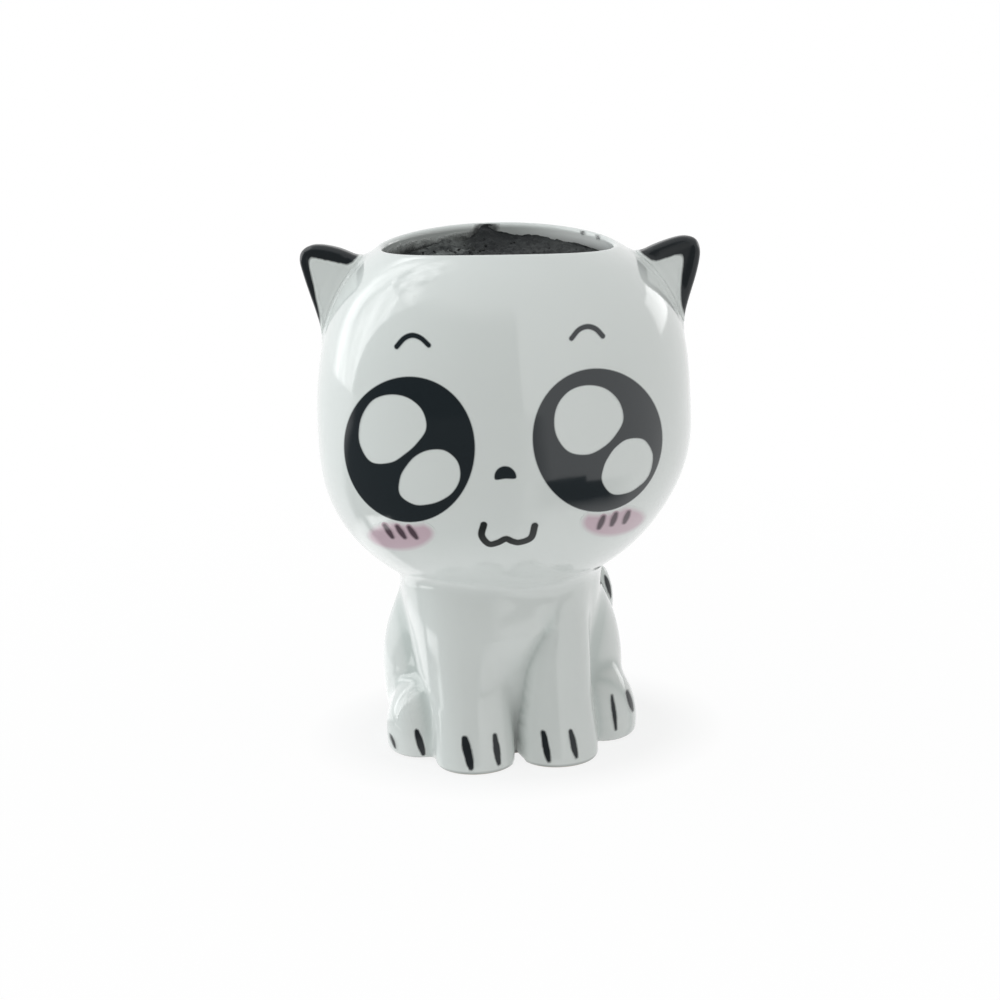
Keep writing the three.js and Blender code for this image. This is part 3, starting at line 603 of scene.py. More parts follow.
def set_stage(bm, name, material):
    """Turns a bmesh in metres into a part of the studio."""
    mesh = bpy.data.meshes.new(name)
    bm.to_mesh(mesh)
    bm.free()
    mesh.materials.append(material)
    made = bpy.data.objects.new(name, mesh)
    bpy.context.scene.collection.objects.link(made)
    return made


def take_sizes(form, group):
    """Copies a group's sizes onto a form, with its lengths in millimetres."""
    for key in type(group).__annotations__:
        size = getattr(group, key)
        setattr(form, key, size / MM if group.bl_rna.properties[key].unit == "LENGTH" else size)


def points_of(verts):
    return np.array([vert.co[:] for vert in verts])


def move(verts, points):
    for vert, point in zip(verts, points):
        vert.co = point


def spun(rows, steps, closed=True):
    """Turns rows of (radius, height) about the axis, and notes each vertex's row."""
    bm = bmesh.new()
    row = bm.verts.layers.int.new("row")
    verts = []
    for index, (radius, height) in enumerate(rows):
        vert = bm.verts.new((radius, 0, height))
        vert[row] = index
        verts.append(vert)
    edges = [bm.edges.new(pair) for pair in zip(verts, verts[1:] + (verts[:1] if closed else []))]
    turn = {"axis": (0, 0, 1), "angle": math.tau, "steps": steps, "use_merge": True}
    bmesh.ops.spin(bm, geom=verts + edges, cent=(0, 0, 0), **turn)
    bmesh.ops.remove_doubles(bm, verts=bm.verts, dist=1e-4)
    bmesh.ops.recalc_face_normals(bm, faces=bm.faces)
    return bm, [vert[row] for vert in bm.verts]


def whole_steps(first, last, count):
    """Whole numbers from first to last, evenly spread."""
    return np.linspace(first, last, count).round().astype(int)


def fade(value, start, run):
    """0 up to start, 1 from a run past it, and straight between. A run below 0 goes the other way."""
    return np.clip((value - start) / run, 0, 1)


def side_of(x, place, width):
    """0 on the one side of a place and 1 on the other, changing softly over a width."""
    return 0.5 + 0.5 * np.tanh((x - place) / width)


def bell(x, place, width, power=2):
    return np.exp(-(((x - place) / width) ** power))


def smooth_min(first, second, width):
    """The union of two distances, with a fillet of that width between them."""
    near = np.clip(1 - np.abs(first - second) / width, 0, None)
    return np.minimum(first, second) - near**2 * width / 4


def ball(points, centre, half):
    """Distance to an ellipsoid, near its surface."""
    scaled = (points - centre) / half
    reach = np.linalg.norm(scaled, axis=-1)
    slope = np.linalg.norm(scaled / half, axis=-1)
    return reach * (reach - 1) / np.maximum(slope, 1e-6)


def gradient(form, points, step):
    """Slope of a distance at each point, from small steps along each axis."""
    axes = step * np.eye(points.shape[1])
    return np.column_stack([form(points + axis) - form(points - axis) for axis in axes]) / (2 * step)


class HeadForm:
    """The head's surface: an outline turned about the axis, then settled as the casting did in the kiln."""

    PITCH = 0.25
    TURN_STEPS = 2401

    def __init__(self, sizes):
        take_sizes(self, sizes)
        self.outline = self._outline()
        along = np.gradient(self.outline, axis=0)
        along /= np.linalg.norm(along, axis=1)[:, None]
        self.normal = np.column_stack([along[:, 1], -along[:, 0]])
        wide = self.outline[:, 0]
        self.neck = int(np.argmax(wide >= self.neck_bore))
        self.lip = len(wide) - 1 - int(np.argmax(wide[::-1] >= self.mouth_radius))
        self.neck_height = self.outline[self.neck, 1]
        self.lip_height = self.outline[self.lip, 1]

    def _outline(self):
        """Rows of (radius, height) from the chin's pole to the crown's, softened where they meet."""
        turn = np.linspace(-np.pi / 2, np.pi / 2, self.TURN_STEPS)
        power = np.where(turn > 0, self.crown_power, self.chin_power)
        reach = np.where(turn > 0, self.crown_rise, self.chin_drop)
        radius = self.radius * np.cos(turn).clip(0) ** (2 / power)
        height = self.cheek_height + reach * np.sign(turn) * np.abs(np.sin(turn)) ** (2 / power)
        run = np.concatenate([[0], np.cumsum(np.hypot(np.diff(radius), np.diff(height)))])
        even = np.arange(0, run[-1], self.PITCH)
        radius, height = np.interp(even, run, radius), np.interp(even, run, height)
        half = int(3 * self.soften / self.PITCH)
        weight = np.exp(-0.5 * (np.arange(-half, half + 1) * self.PITCH / self.soften) ** 2)
        weight /= weight.sum()
        radius = np.convolve(np.pad(radius, half, mode="reflect", reflect_type="odd"), weight, "valid")
        height = np.convolve(np.pad(height, half, mode="reflect"), weight, "valid")
        return np.column_stack([radius * self.radius / radius.max(), height])

    def radius_at(self, height):
        return np.interp(height, self.outline[:, 1], self.outline[:, 0])

    def lip_middle(self):
        """Centre of the lip's rounding, as radius and height."""
        return self.outline[self.lip] - self.lip_wall / 2 * self.normal[self.lip]

    def inner_wall(self, clearance=0.0):
        """Rows from the lip down to the neck's bore, a wall's thickness inside the outline."""
        run = fade(np.arange(len(self.outline)), self.lip, -self.lip_run / self.PITCH)
        thick = self.lip_wall + (self.wall - self.lip_wall) * run**0.7 + clearance
        wall = self.outline - thick[:, None] * self.normal
        wall = wall[self.lip : self.neck : -1]
        middle = self.lip_middle()
        flare = np.maximum(0, middle[1] - wall[:, 1] - self.collar)
        straight = middle[0] - self.lip_wall / 2 - clearance + flare
        wall[:, 0] = np.where(wall[:, 1] > self.cheek_height, np.minimum(wall[:, 0], straight), wall[:, 0])
        ended = (wall[:, 1] < self.cheek_height) & (wall[:, 0] < self.neck_bore - clearance)
        return wall[: int(np.argmax(ended)) if ended.any() else None]

    def ripples(self, points):
        x, y, z = points.T
        waves = np.sin(0.21 * x + 0.13 * z + 0.7) + np.sin(0.17 * y - 0.19 * z + 2.1)
        return self.ripple / 2 * (waves + np.sin(0.11 * x - 0.15 * y + 0.23 * z + 4.0))

    def settle(self, points):
        """Leans the head, sags and tilts its rim and draws its chin aside, as the kiln did."""
        x, y, z = points.T
        span = fade(z, self.neck_height, self.lip_height - self.neck_height)
        below = fade(z, self.cheek_height, self.neck_height - self.cheek_height)
        above = fade(z, self.cheek_height, self.lip_height - self.cheek_height)
        reach = np.maximum(x**2 + y**2, self.mouth_radius**2)
        sag = above**4 * (self.saddle * (y**2 - x**2) / reach + self.rim_rise - self.rim_tilt * x)
        lean = self.lean * x * np.sin(np.pi * span)
        swell = 1 + self.ripples(points) / np.maximum(np.hypot(x, y), 1)
        return np.column_stack([x * swell + self.neck_shift * below**2, y * swell, z + lean + sag])

    def distance(self, points):
        """Distance of settled points to the head's outside."""
        base = points.copy()
        for _ in range(3):
            base += points - self.settle(base)
        out = np.interp(base[:, 2], self.outline[:, 1], self.normal[:, 0])
        return (np.hypot(base[:, 0], base[:, 1]) - self.radius_at(base[:, 2])) * np.maximum(out, 0.3)

    def on_front(self, places, lift):
        """Points over the face at those (x, z), lifted off the glaze."""
        guess = places.copy()
        for _ in range(10):
            radius = self.radius_at(guess[:, 1])
            depth = -np.sqrt(np.maximum(radius**2 - guess[:, 0] ** 2, 0))
            base = np.column_stack([guess[:, 0], depth, guess[:, 1]])
            guess += places - self.settle(base)[:, [0, 2]]
        out = np.interp(base[:, 2], self.outline[:, 1], self.normal[:, 0])
        up = np.interp(base[:, 2], self.outline[:, 1], self.normal[:, 1])
        ring = np.hypot(base[:, 0], base[:, 1])
        normal = np.column_stack([base[:, 0] / ring * out, base[:, 1] / ring * out, up])
        return self.settle(base + np.reshape(lift, (-1, 1)) * normal)


class BodyForm:
    """The seated body in its own frame: forms that run into each other under the glaze."""

    # Heights on a paw and the share of its swell there
    PAW = ((0, 3, 6, 14), (0.6, 1, 0.8, 0))
    # Where the blends change, as a start and a run: beside and above the groove, and on the left foreleg
    GROOVE_SIDE, GROOVE_TOP = (-8, 5), (32, -14)
    LEG_LOW, LEG_INNER = (40, -9), (13, -4)
    VALLEY_WIDTH = 1.8
    # How far out the skin is looked for, and where a mark starts on its way to the front
    REACH, SCAN_STEPS, AHEAD = (14, 44), 76, -44.0

    def __init__(self, sizes, head):
        take_sizes(self, sizes)
        self.head = head
        chin = head.outline[: int(np.argmax(head.outline[:, 0]))]
        self.neck_top = float(np.interp(self.neck_radius, chin[:, 0], chin[:, 1]))
        self.spin = np.array(Matrix.Rotation(self.turn, 3, "Z"))

    def place(self, points):
        """From the body's frame into the planter's."""
        return points @ self.spin.T + (self.head.neck_shift, 0, 0)

    def forms(self, points):
        """Distances to the trunk, the chest, the forelegs, the haunches and the hind paws."""
        x, y, z = np.moveaxis(points, -1, 0)
        up = fade(z, 0, self.neck_top)
        ring = np.hypot(x, y - self.trunk_back * (1 - up**2))
        heights = (0, self.trunk_waist / 2, self.trunk_waist, self.neck_top * 0.75, self.neck_top)
        waist = (self.foot_radius, 0.6 * self.trunk_radius + 0.4 * self.foot_radius, self.trunk_radius)
        radii = (*waist, 0.4 * self.trunk_radius + 0.6 * self.neck_radius, self.neck_radius)
        trunk = ring - np.interp(z, heights, radii)
        chest = ball(points, *CHEST)
        swell = self.paw_swell * np.interp(z, *self.PAW)
        legs = []
        for leg in FORELEGS.values():
            forward = leg["paw"] + (leg["top"] - leg["paw"]) * np.sqrt(up)
            legs.append(np.hypot(x - leg["spread"], y + forward) - leg["radius"] - swell)
        haunches = [ball(points, *haunch) for haunch in HAUNCHES]
        paws = [ball(points, *paw) for paw in HIND_PAWS]
        return trunk, chest, legs, haunches, paws

    def distance(self, points):
        """Distance to the body's surface, and how far glaze pools in its creases, which also sets the painted
        shade there.
        """
        trunk, chest, legs, haunches, paws = self.forms(points)
        right, left = legs
        x, z = points[..., 0], points[..., 2]
        whole = smooth_min(trunk, chest, 1.4 * self.blend)
        beside = fade(x, *self.GROOVE_SIDE) * fade(z, *self.GROOVE_TOP)
        front = smooth_min(whole, right, self.shoulder + (self.groove - self.shoulder) * beside)
        low = fade(z, *self.LEG_LOW)
        inner = fade(x, *self.LEG_INNER)
        whole = smooth_min(front, left, self.groove + (self.breast - self.groove) * (1 - low) * inner)
        pool_and_shade = low * (np.minimum(front, left) - whole)
        whole = whole + self.valley * low**2 * inner * bell(front, left, self.VALLEY_WIDTH)
        for haunch, paw in zip(haunches, paws):
            hard = np.minimum.reduce([whole, haunch, paw])
            whole = smooth_min(whole, smooth_min(haunch, paw, self.instep), self.blend)
            pool_and_shade = pool_and_shade + hard - whole
        near = np.clip(1 - np.abs(whole + z) / self.foot_round, 0, None)
        return np.maximum(whole, -z) + near**2 * self.foot_round / 4, pool_and_shade

    def with_head(self, points):
        """Distance to the body and the chin together, with the seam between them filled."""
        ring = np.hypot(points[..., 0], points[..., 1])
        z = points[..., 2]
        outline = self.head.outline
        out = np.interp(z, outline[:, 1], self.head.normal[:, 0])
        chin = np.where(z > outline[0, 1], (ring - self.head.radius_at(z)) * np.maximum(out, 0.2), 10)
        return smooth_min(self.distance(points)[0], chin, self.seam)

    def radius(self, turn, height):
        """Outermost radius of body and head at each angle and height."""
        radii = np.linspace(*self.REACH, self.SCAN_STEPS)
        shape = np.broadcast_shapes(turn.shape, height.shape)
        turn, height = np.broadcast_to(turn, shape), np.broadcast_to(height, shape)
        way = np.stack([np.cos(turn), np.sin(turn)], axis=-1)

        def at(radius):
            return self.with_head(np.concatenate([way * radius[..., None], height[..., None]], axis=-1))

        inside = np.stack([at(np.full(shape, radius)) < 0 for radius in radii])
        last = self.SCAN_STEPS - 1 - np.argmax(inside[::-1], axis=0)
        low = radii[last]
        high = low + radii[1] - radii[0]
        for _ in range(18):
            middle = (low + high) / 2
            within = at(middle) < 0
            low, high = np.where(within, middle, low), np.where(within, high, middle)
        return low

    def on_front(self, places, lift):
        """Points over the front of the body at those (x, z) of its own frame."""
        depth = np.full(len(places), self.AHEAD)
        for _ in range(90):
            points = np.column_stack([places[:, 0], depth, places[:, 1]])
            depth = depth + np.clip(self.distance(points)[0] * 0.7, -0.5, 2)
        points = np.column_stack([places[:, 0], depth, places[:, 1]])
        normal = gradient(lambda near: self.distance(near)[0], points, 0.05)
        normal /= np.linalg.norm(normal, axis=1)[:, None]
        return self.place(points + np.reshape(lift, (-1, 1)) * normal)


class EarForm:
    """An ear as a run of cross-sections with rounded corners, from the root to the tip."""

    ROWS = 44
    CROWD = 1.6
    CORNER_STEPS, FLAT_STEPS = 7, 17
    # Widths over which the hollow starts at an ear's edge, and below which a narrow row has less of it
    HOLLOW_EDGE, HOLLOW_ROW = 3, 6

    def __init__(self, sizes, outline, head):
        take_sizes(self, sizes)
        self.head = head
        line = resample(through(outline, 12, False), 241)
        chord = (line[0] + line[-1]) / 2
        tip = int(np.argmax(np.linalg.norm(line - chord, axis=1)))
        even = 1 - (1 - np.linspace(0, 1, self.ROWS)) ** self.CROWD
        top, side = (
            np.column_stack([np.interp(even, np.linspace(0, 1, len(edge)), part) for part in edge.T])
            for edge in (line[: tip + 1], line[tip:][::-1])
        )
        self.middle = (top + side) / 2
        half = (top - side) / 2
        self.wide = np.linalg.norm(half, axis=1)
        self.way = half / np.maximum(self.wide, 1e-6)[:, None]
        run = run_of(self.middle)
        dome = fade(run, run[-1] - self.edge_round, self.edge_round)
        thick = self.thickness * (1 + (self.tip_share - 1) * run / run[-1])
        self.half = thick / 2 * np.sqrt(np.maximum(1 - dome**2, 0))
        self.round = np.minimum(np.minimum(self.edge_round, self.wide), self.half)
        self.within = within_loop(line)
        self.span = (chord, line[tip] - chord)
        self.section = self._section()

    def _section(self):
        """Corners and flats round a row: across and its rounding, then deep and its rounding."""
        corner = np.linspace(0, np.pi / 2, self.CORNER_STEPS)
        flat = np.linspace(-1, 1, self.FLAT_STEPS)[1:-1]
        return np.array([
            *((1, math.cos(t), 1, math.sin(t)) for t in corner),
            *((-part, 0, 1, 1) for part in flat),
            *((-1, -math.sin(t), 1, math.cos(t)) for t in corner),
            *((-1, -math.cos(t), -1, -math.sin(t)) for t in corner),
            *((part, 0, -1, -1) for part in flat),
            *((1, math.sin(t), -1, -math.cos(t)) for t in corner),
        ])

    def mesh(self):
        """A closed tube of rows and columns, not yet put in place."""
        rows = [(0 if i in (0, self.ROWS - 1) else 1, i) for i in range(self.ROWS)]
        steps = len(self.section)
        bm, _ = spun(rows, steps, closed=False)
        column = bm.verts.layers.int.new("column")
        for vert in bm.verts:
            vert[column] = round(math.atan2(vert.co.y, vert.co.x) / math.tau * steps) % steps
        return bm

    def shape(self, bm, lift=0):
        """Where the vertices of such a tube lie on the ear, or off it by a lift."""
        layers = [bm.verts.layers.int[name] for name in ("row", "column")]
        row, column = (np.array([vert[layer] for vert in bm.verts]) for layer in layers)
        across, round_across, deep, round_deep = self.section[column].T
        inner = (row > 0) & (row < self.ROWS - 1)
        wide = np.where(inner, across * (self.wide - self.round)[row] + round_across * self.round[row], 0)
        thick = np.where(inner, deep * (self.half - self.round)[row] + round_deep * self.round[row], 0)
        edge = fade((1 - np.abs(across)) * self.wide[row], 0, self.HOLLOW_EDGE)
        edge = edge * fade(self.wide[row], 0, self.HOLLOW_ROW)
        thick = thick + np.where(deep < 0, self.hollow * edge**2 * (3 - 2 * edge), 0)
        flat = self.middle[row] + self.way[row] * (wide + lift * round_across)[:, None]
        points = np.column_stack([flat[:, 0], thick + lift * round_deep + self.setback, flat[:, 1]])
        return self.blended(points, lift, self.head.distance)

    def distance(self, points):
        """Distance to the ear, from its outline and its thickness."""
        start, way = self.span
        flat = points[:, [0, 2]]
        part = fade((flat - start) @ way, 0, way @ way)
        half = self.thickness / 2 * np.array((1, self.tip_share))
        side = self.within(flat) + self.edge_round
        deep = np.abs(points[:, 1] - self.setback) - np.interp(part, (0, 1), half) + self.edge_round
        corner = np.hypot(np.maximum(side, 0), np.maximum(deep, 0))
        return corner + np.minimum(np.maximum(side, deep), 0) - self.edge_round

    def blended(self, points, lift, other):
        """Moves points near the other form onto the fillet between ear and head."""
        off = other(points)
        near = fade(off, 1.5 * self.blend, -0.5 * self.blend)
        pick = (near > 0) & (off > -2)
        moved = points[pick]
        level = (lift + np.minimum(off + 0.5, 0))[pick]

        def union(places):
            return smooth_min(self.head.distance(places), self.distance(places), self.blend)

        for _ in range(6):
            gap = np.clip(union(moved) - level, -0.8, 0.8)
            slope = gradient(union, moved, 0.02)
            moved = moved - slope * (gap / np.maximum((slope**2).sum(1), 0.3))[:, None]
        points = points.copy()
        points[pick] += near[pick, None] * (moved - points[pick])
        return points


class TailForm:
    """A roll of clay along a curve in the body's frame."""

    def __init__(self, sizes, body):
        take_sizes(self, sizes)
        self.body = body
        knots = np.array([(x, y, part * body.neck_top) for x, y, part in TAIL])
        self.line = resample(through(knots, 40, False), 241)
        self.run = run_of(self.line)
        self.length = self.run[-1]
        along = np.gradient(self.line, axis=0)
        along /= np.linalg.norm(along, axis=1)[:, None]
        side = np.cross(along[0], (0, 0, 1))
        sides = []
        for tangent in along:
            side = side - tangent * (side @ tangent)
            side = side / np.linalg.norm(side)
            sides.append(side)
        self.side = np.array(sides)
        self.up = np.cross(along, self.side)

    def radius(self, place):
        base = self.root_radius + (self.tip_radius - self.root_radius) * place / self.length
        dome = fade(place, self.length - self.tip_radius, self.tip_radius)
        return base * np.sqrt(np.maximum(1 - dome**2, 0))

    def bend(self, place, turn, radius):
        """Points at a place along the tail, an angle round it and a radius."""
        middle, side, up = (
            np.column_stack([np.interp(place, self.run, part[:, axis]) for axis in range(3)])
            for part in (self.line, self.side, self.up)
        )
        out = side * np.cos(turn)[:, None] + up * np.sin(turn)[:, None]
        return self.body.place(middle + out * radius[:, None])

    def facing(self, wanted, place):
        """The angle round the tail at which it faces a way, at a place along it."""
        index = int(np.searchsorted(self.run, place))
        side, up = self.side[index] @ self.body.spin.T, self.up[index] @ self.body.spin.T
        return math.atan2(up @ wanted, side @ wanted)


class SoilForm:
    """The soil in the mouth: a low heap that rises to the back wall, with a clump against it."""

    def __init__(self, sizes, head):
        take_sizes(self, sizes)
        self.head = head
        self.level = head.lip_height - self.depth

    def height(self, x, y):
        """Height of the soil, without its grain."""
        reach = np.hypot(x, y) / self.head.mouth_radius
        back = fade(y, 0, self.head.mouth_radius) ** 2
        waves = 0.35 * np.sin(0.5 * x) * np.sin(0.43 * y) + 0.25 * np.sin(0.9 * x - 0.7 * y)
        lumps = waves * (0.2 + 0.8 * side_of(x, 0, -3))
        clump = 2.2 * bell(x, CLUMP[0], 3.2) * fade(y, 0, 27) ** 10
        rise = self.back_rise + 0.8 * side_of(x, -2, 4)
        return self.level + 0.8 * (1 - reach**2) + rise * back * reach**4 + lumps + clump


def head_and_body(context):
    """The head and the body, as their sizes are set."""
    head = HeadForm(context.scene.planter_head)
    return head, BodyForm(context.scene.planter_body, head)


def through(knots, steps, closed):
    """A smooth line through knots, as points."""
    knots = np.asarray(knots, dtype=float)
    count = len(knots)
    spans = count if closed else count - 1
    line = []
    for i in range(spans):
        if closed:
            a, b, c, d = (knots[(i + k) % count] for k in (-1, 0, 1, 2))
        else:
            b, c = knots[i], knots[i + 1]
            a = knots[i - 1] if i else 2 * b - c
            d = knots[i + 2] if i + 2 < count else 2 * c - b
        t = np.linspace(0, 1, steps, endpoint=False)[:, None]
        line.append(
            0.5 * (2 * b + (c - a) * t + (2 * a - 5 * b + 4 * c - d) * t**2 + (3 * b - a - 3 * c + d) * t**3)
        )
    if not closed:
        line.append(knots[-1:])
    return np.concatenate(line)


def run_of(line):
    """How far along a line of points each one lies."""
    return np.concatenate([[0], np.cumsum(np.linalg.norm(np.diff(line, axis=0), axis=1))])


def resample(line, count):
    run = run_of(line)
    even = np.linspace(0, run[-1], count)
    return np.column_stack([np.interp(even, run, part) for part in line.T])


def segment_distance(places, line):
    """Distance of each place to a line of points, and where along the line that is."""
    starts, ends = line[:-1], line[1:]
    step = ends - starts
    offset = places[:, None, :] - starts[None]
    along = np.clip((offset * step).sum(-1) / np.maximum((step**2).sum(-1), 1e-12), 0, 1)
    gap = np.linalg.norm(offset - along[..., None] * step, axis=-1)
    nearest = gap.argmin(axis=1)
    pick = np.arange(len(places))
    return gap[pick, nearest], (nearest + along[pick, nearest]) / len(step)


def within_loop(loop):
    """Signed distance to a closed loop of points, less than 0 inside."""
    ring = np.vstack([loop, loop[:1]])

    def signed(places):
        gap, _ = segment_distance(places, ring)
        x, z = places[:, 0, None], places[:, 1, None]
        (x0, z0), (x1, z1) = ring[:-1].T, ring[1:].T
        crosses = (z0 > z) != (z1 > z)
        meet = x0 + (z - z0) * (x1 - x0) / np.where(z1 == z0, 1e-9, z1 - z0)
        inside = (crosses & (x < meet)).sum(axis=1) % 2 == 1
        return np.where(inside, -gap, gap)

    return signed


def within_ellipse(centre, half, turn):
    spin = math.radians(turn)
    axes = np.array([[math.cos(spin), -math.sin(spin)], [math.sin(spin), math.cos(spin)]])
    return lambda places: ball((places - centre) @ axes, (0, 0), np.array(half))


def within_stroke(line, width, taper=None):
    """Signed distance to a stroke along a line. The taper gives its width from 0 at the start to 1."""

    def signed(places):
        gap, along = segment_distance(places, line)
        wide = taper(along) if taper else 1.0
        return gap - width / 2 * wide

    return signed


def without(shape, *holes):
    """A shape with holes in it."""
    return lambda places: np.maximum.reduce([shape(places), *(-hole(places) for hole in holes)])


def tail_taper(along):
    return 0.55 + 0.45 * np.sin(np.pi * along**0.8)


def cheek_taper(along):
    return 0.8 + 0.2 * np.sin(np.pi * along)


def claw_taper(along):
    return 0.62 + 0.38 * np.sin(np.pi * np.clip(along * 0.85 + 0.1, 0, 1)) ** 0.8


def closed_film(bm):
    """Doubles an open film into a thin closed one, and tells which vertices are on its face."""
    under = set(bm.verts)
    bmesh.ops.extrude_face_region(bm, geom=list(bm.faces), use_keep_orig=True)
    return np.array([vert not in under for vert in bm.verts])


def mark_sheet(signed, low, high, pitch):
    """A flat film over the places where a signed distance is below 0, with how deep each vertex lies."""
    bm = bmesh.new()
    cover = bm.verts.layers.float.new("cover")
    low, high = np.array(low) - pitch, np.array(high) + pitch
    count = np.ceil((high - low) / pitch).astype(int)
    bmesh.ops.create_grid(bm, x_segments=count[0], y_segments=count[1], size=1)
    flat = low + (points_of(bm.verts)[:, :2] + 1) / 2 * (high - low)
    gone = [vert for vert, gap in zip(bm.verts, signed(flat)) if gap > 0.45 * pitch]
    move(bm.verts, np.column_stack([flat, np.zeros(len(flat))]))
    bmesh.ops.delete(bm, geom=gone, context="VERTS")
    bmesh.ops.delete(bm, geom=[vert for vert in bm.verts if not vert.link_faces], context="VERTS")
    rim = [vert for vert in bm.verts if vert.is_boundary]
    for _ in range(4):
        places = points_of(rim)[:, :2]
        slope = gradient(signed, places, 0.02)
        places = places - slope * (signed(places) / np.maximum((slope**2).sum(1), 0.2))[:, None]
        move(rim, np.column_stack([places, np.zeros(len(places))]))
    inner = [vert for vert in bm.verts if not vert.is_boundary]
    for _ in range(3):
        bmesh.ops.smooth_vert(bm, verts=inner, factor=0.5, use_axis_x=True, use_axis_y=True, use_axis_z=False)
    for vert, gap in zip(bm.verts, signed(points_of(bm.verts)[:, :2])):
        vert[cover] = max(0.0, -gap)
    return bm


def mark(name, node, look, surface, signed, points, grid, lifts=FILM):
    """Makes one mark: a film in the shape of a signed distance, laid on a surface."""
    margin, pitch = grid
    bm = mark_sheet(signed, np.min(points, axis=0) - margin, np.max(points, axis=0) + margin, pitch)
    face = closed_film(bm)
    move(bm.verts, surface(points_of(bm.verts)[:, :2], np.where(face, lifts[1], lifts[0])))
    bmesh.ops.recalc_face_normals(bm, faces=bm.faces)
    make_piece(bm, name, look, node, sharp=FILM_EDGE)


class PLANTER_OT_head(bpy.types.Operator):
    """Turn the head's wall, with its rounded lip and the stains, dust, painted shade and painted light inside
    it
    """

    bl_idname = "planter.head"
    bl_label = "Head"

    def lip(self, head):
        """Rows round the lip, from its outside to where it is narrowest."""
        middle = head.lip_middle()
        arm = head.outline[head.lip] - middle
        across = np.array((-arm[1], arm[0]))
        turns = np.linspace(0, np.pi, LIP_ROWS)[1:-1]
        rows = [middle + arm * math.cos(turn) + across * math.sin(turn) for turn in turns]
        return rows[: int(np.argmin([radius for radius, _ in rows])) + 1]

    def soil_inside(self, bm, row, first, head):
        """Dust with painted shade, painted light and stains on the wall, from the row where the inside
        starts.
        """
        dust, rinsed, stain = (bm.verts.layers.float.new(name) for name in ("dust", "rinsed", "stain"))
        for vert, index in zip(bm.verts, row):
            if index < first:
                continue
            x, y, z = vert.co
            within = min(1.0, (index - first) / 4)
            # Dust and painted shade on the cat's right of the wall
            vert[dust] = within * side_of(x, *DUST_AND_SHADE)
            # Painted light on the cat's left of the wall
            vert[rinsed] = within * side_of(x, *PAINTED_LIGHT)
            depth = head.lip_height + 1.2 - z
            stains = 0.3 * side_of(x, *STAINED) * max(0.0, depth - 2.0)
            if y > 0:
                stains += bell(x, *CLUMP, power=4) + bell(x, *SPREAD) * fade(depth, 1.5, 2)
                stains += sum(bell(x, at, SPECK) * bell(depth, low, SPECK) for at, low in SPECKS)
            vert[stain] = min(1.0, stains)

    def execute(self, context):
        head, _ = head_and_body(context)
        outer = head.outline[whole_steps(head.neck, head.lip, HEAD_ROWS)]
        inner = head.inner_wall()
        inner = inner[whole_steps(0, len(inner) - 1, INNER_ROWS)]
        lip = self.lip(head)
        bm, row = spun([*outer, *lip, *inner], HEAD_STEPS)
        self.soil_inside(bm, row, len(outer) + len(lip) // 2, head)
        settled = head.settle(points_of(bm.verts))
        outside = np.array(row) < len(outer)
        for outline, _ in EARS.values():
            ear = EarForm(context.scene.planter_ears, outline, head)
            settled[outside] = ear.blended(settled[outside], 0, ear.distance)
        move(bm.verts, settled)
        make_piece(bm, "head", WHITE, "head_bowl")
        return {"FINISHED"}


class PLANTER_OT_body(bpy.types.Operator):
    """Turn the body's wall and push it out to the legs, haunches and paws"""

    bl_idname = "planter.body"
    bl_label = "Body"

    def neck_edge(self, head, body, turns):
        """Height at each angle at which the body's skin runs into the chin."""
        scan = np.linspace(*NECK_SCAN)
        over = body.radius(turns[:, None], scan[None, :]) - head.radius_at(scan)[None, :] - NECK_SKIN
        free = np.argmax(over < 0, axis=1)
        each = np.arange(len(turns))
        above, below = over[each, free], over[each, free - 1]
        edge = scan[free] + (scan[1] - scan[0]) * above / (below - above)
        for _ in range(3):
            edge = (np.roll(edge, 1) + edge + np.roll(edge, -1)) / 3
        return edge

    def execute(self, context):
        head, body = head_and_body(context)
        turns = np.arange(BODY_STEPS) * math.tau / BODY_STEPS
        edge = self.neck_edge(head, body, turns)
        heights = edge[:, None] * SKIN_ROWS[None, :]
        radii = body.radius(turns[:, None], heights)
        rings = [(FOOT_RING + (radii[:, 0] - FOOT_RING) * part, np.zeros(BODY_STEPS)) for part in SOLE_ROWS]
        rings += zip(radii.T, heights.T)
        rings += [(head.radius_at(edge + over) - deep, edge + over) for over, deep in TUCKS]
        fixed = [(BODY_INSIDE[0][0], head.neck_height), *BODY_INSIDE, *BODY_UNDER]
        bm, row = spun(fixed + [(30, 50 + i) for i in range(len(rings))], BODY_STEPS)
        points = points_of(bm.verts)
        turned = np.arctan2(points[:, 1], points[:, 0]) / math.tau
        column = np.round(turned * BODY_STEPS).astype(int) % BODY_STEPS
        row = np.array(row)
        way = np.column_stack([np.cos(turns), np.sin(turns)])
        for index, (reach, level) in enumerate(rings, len(fixed)):
            pick = row == index
            at = column[pick]
            points[pick] = np.column_stack([way[at] * reach[at, None], level[at]])
        outside = row >= len(fixed) + len(SOLE_ROWS)
        # How far glaze pools in each crease, which the glaze also darkens there as painted shade
        crease = bm.verts.layers.float.new("crease")
        for vert, pool_and_shade in zip(bm.verts, np.where(outside, 2 * body.distance(points)[1], 0)):
            vert[crease] = min(1.0, max(0.0, pool_and_shade))
        placed = body.place(points)
        hold = np.where(outside, fade(points[:, 2] / edge[column], 0.7, 0.3) ** 2, 0)
        settled = head.settle(placed - (head.neck_shift, 0, 0))
        move(bm.verts, placed + hold[:, None] * (settled - placed))
        bmesh.ops.recalc_face_normals(bm, faces=bm.faces)
        make_piece(bm, "body", WHITE, "body_base")
        return {"FINISHED"}


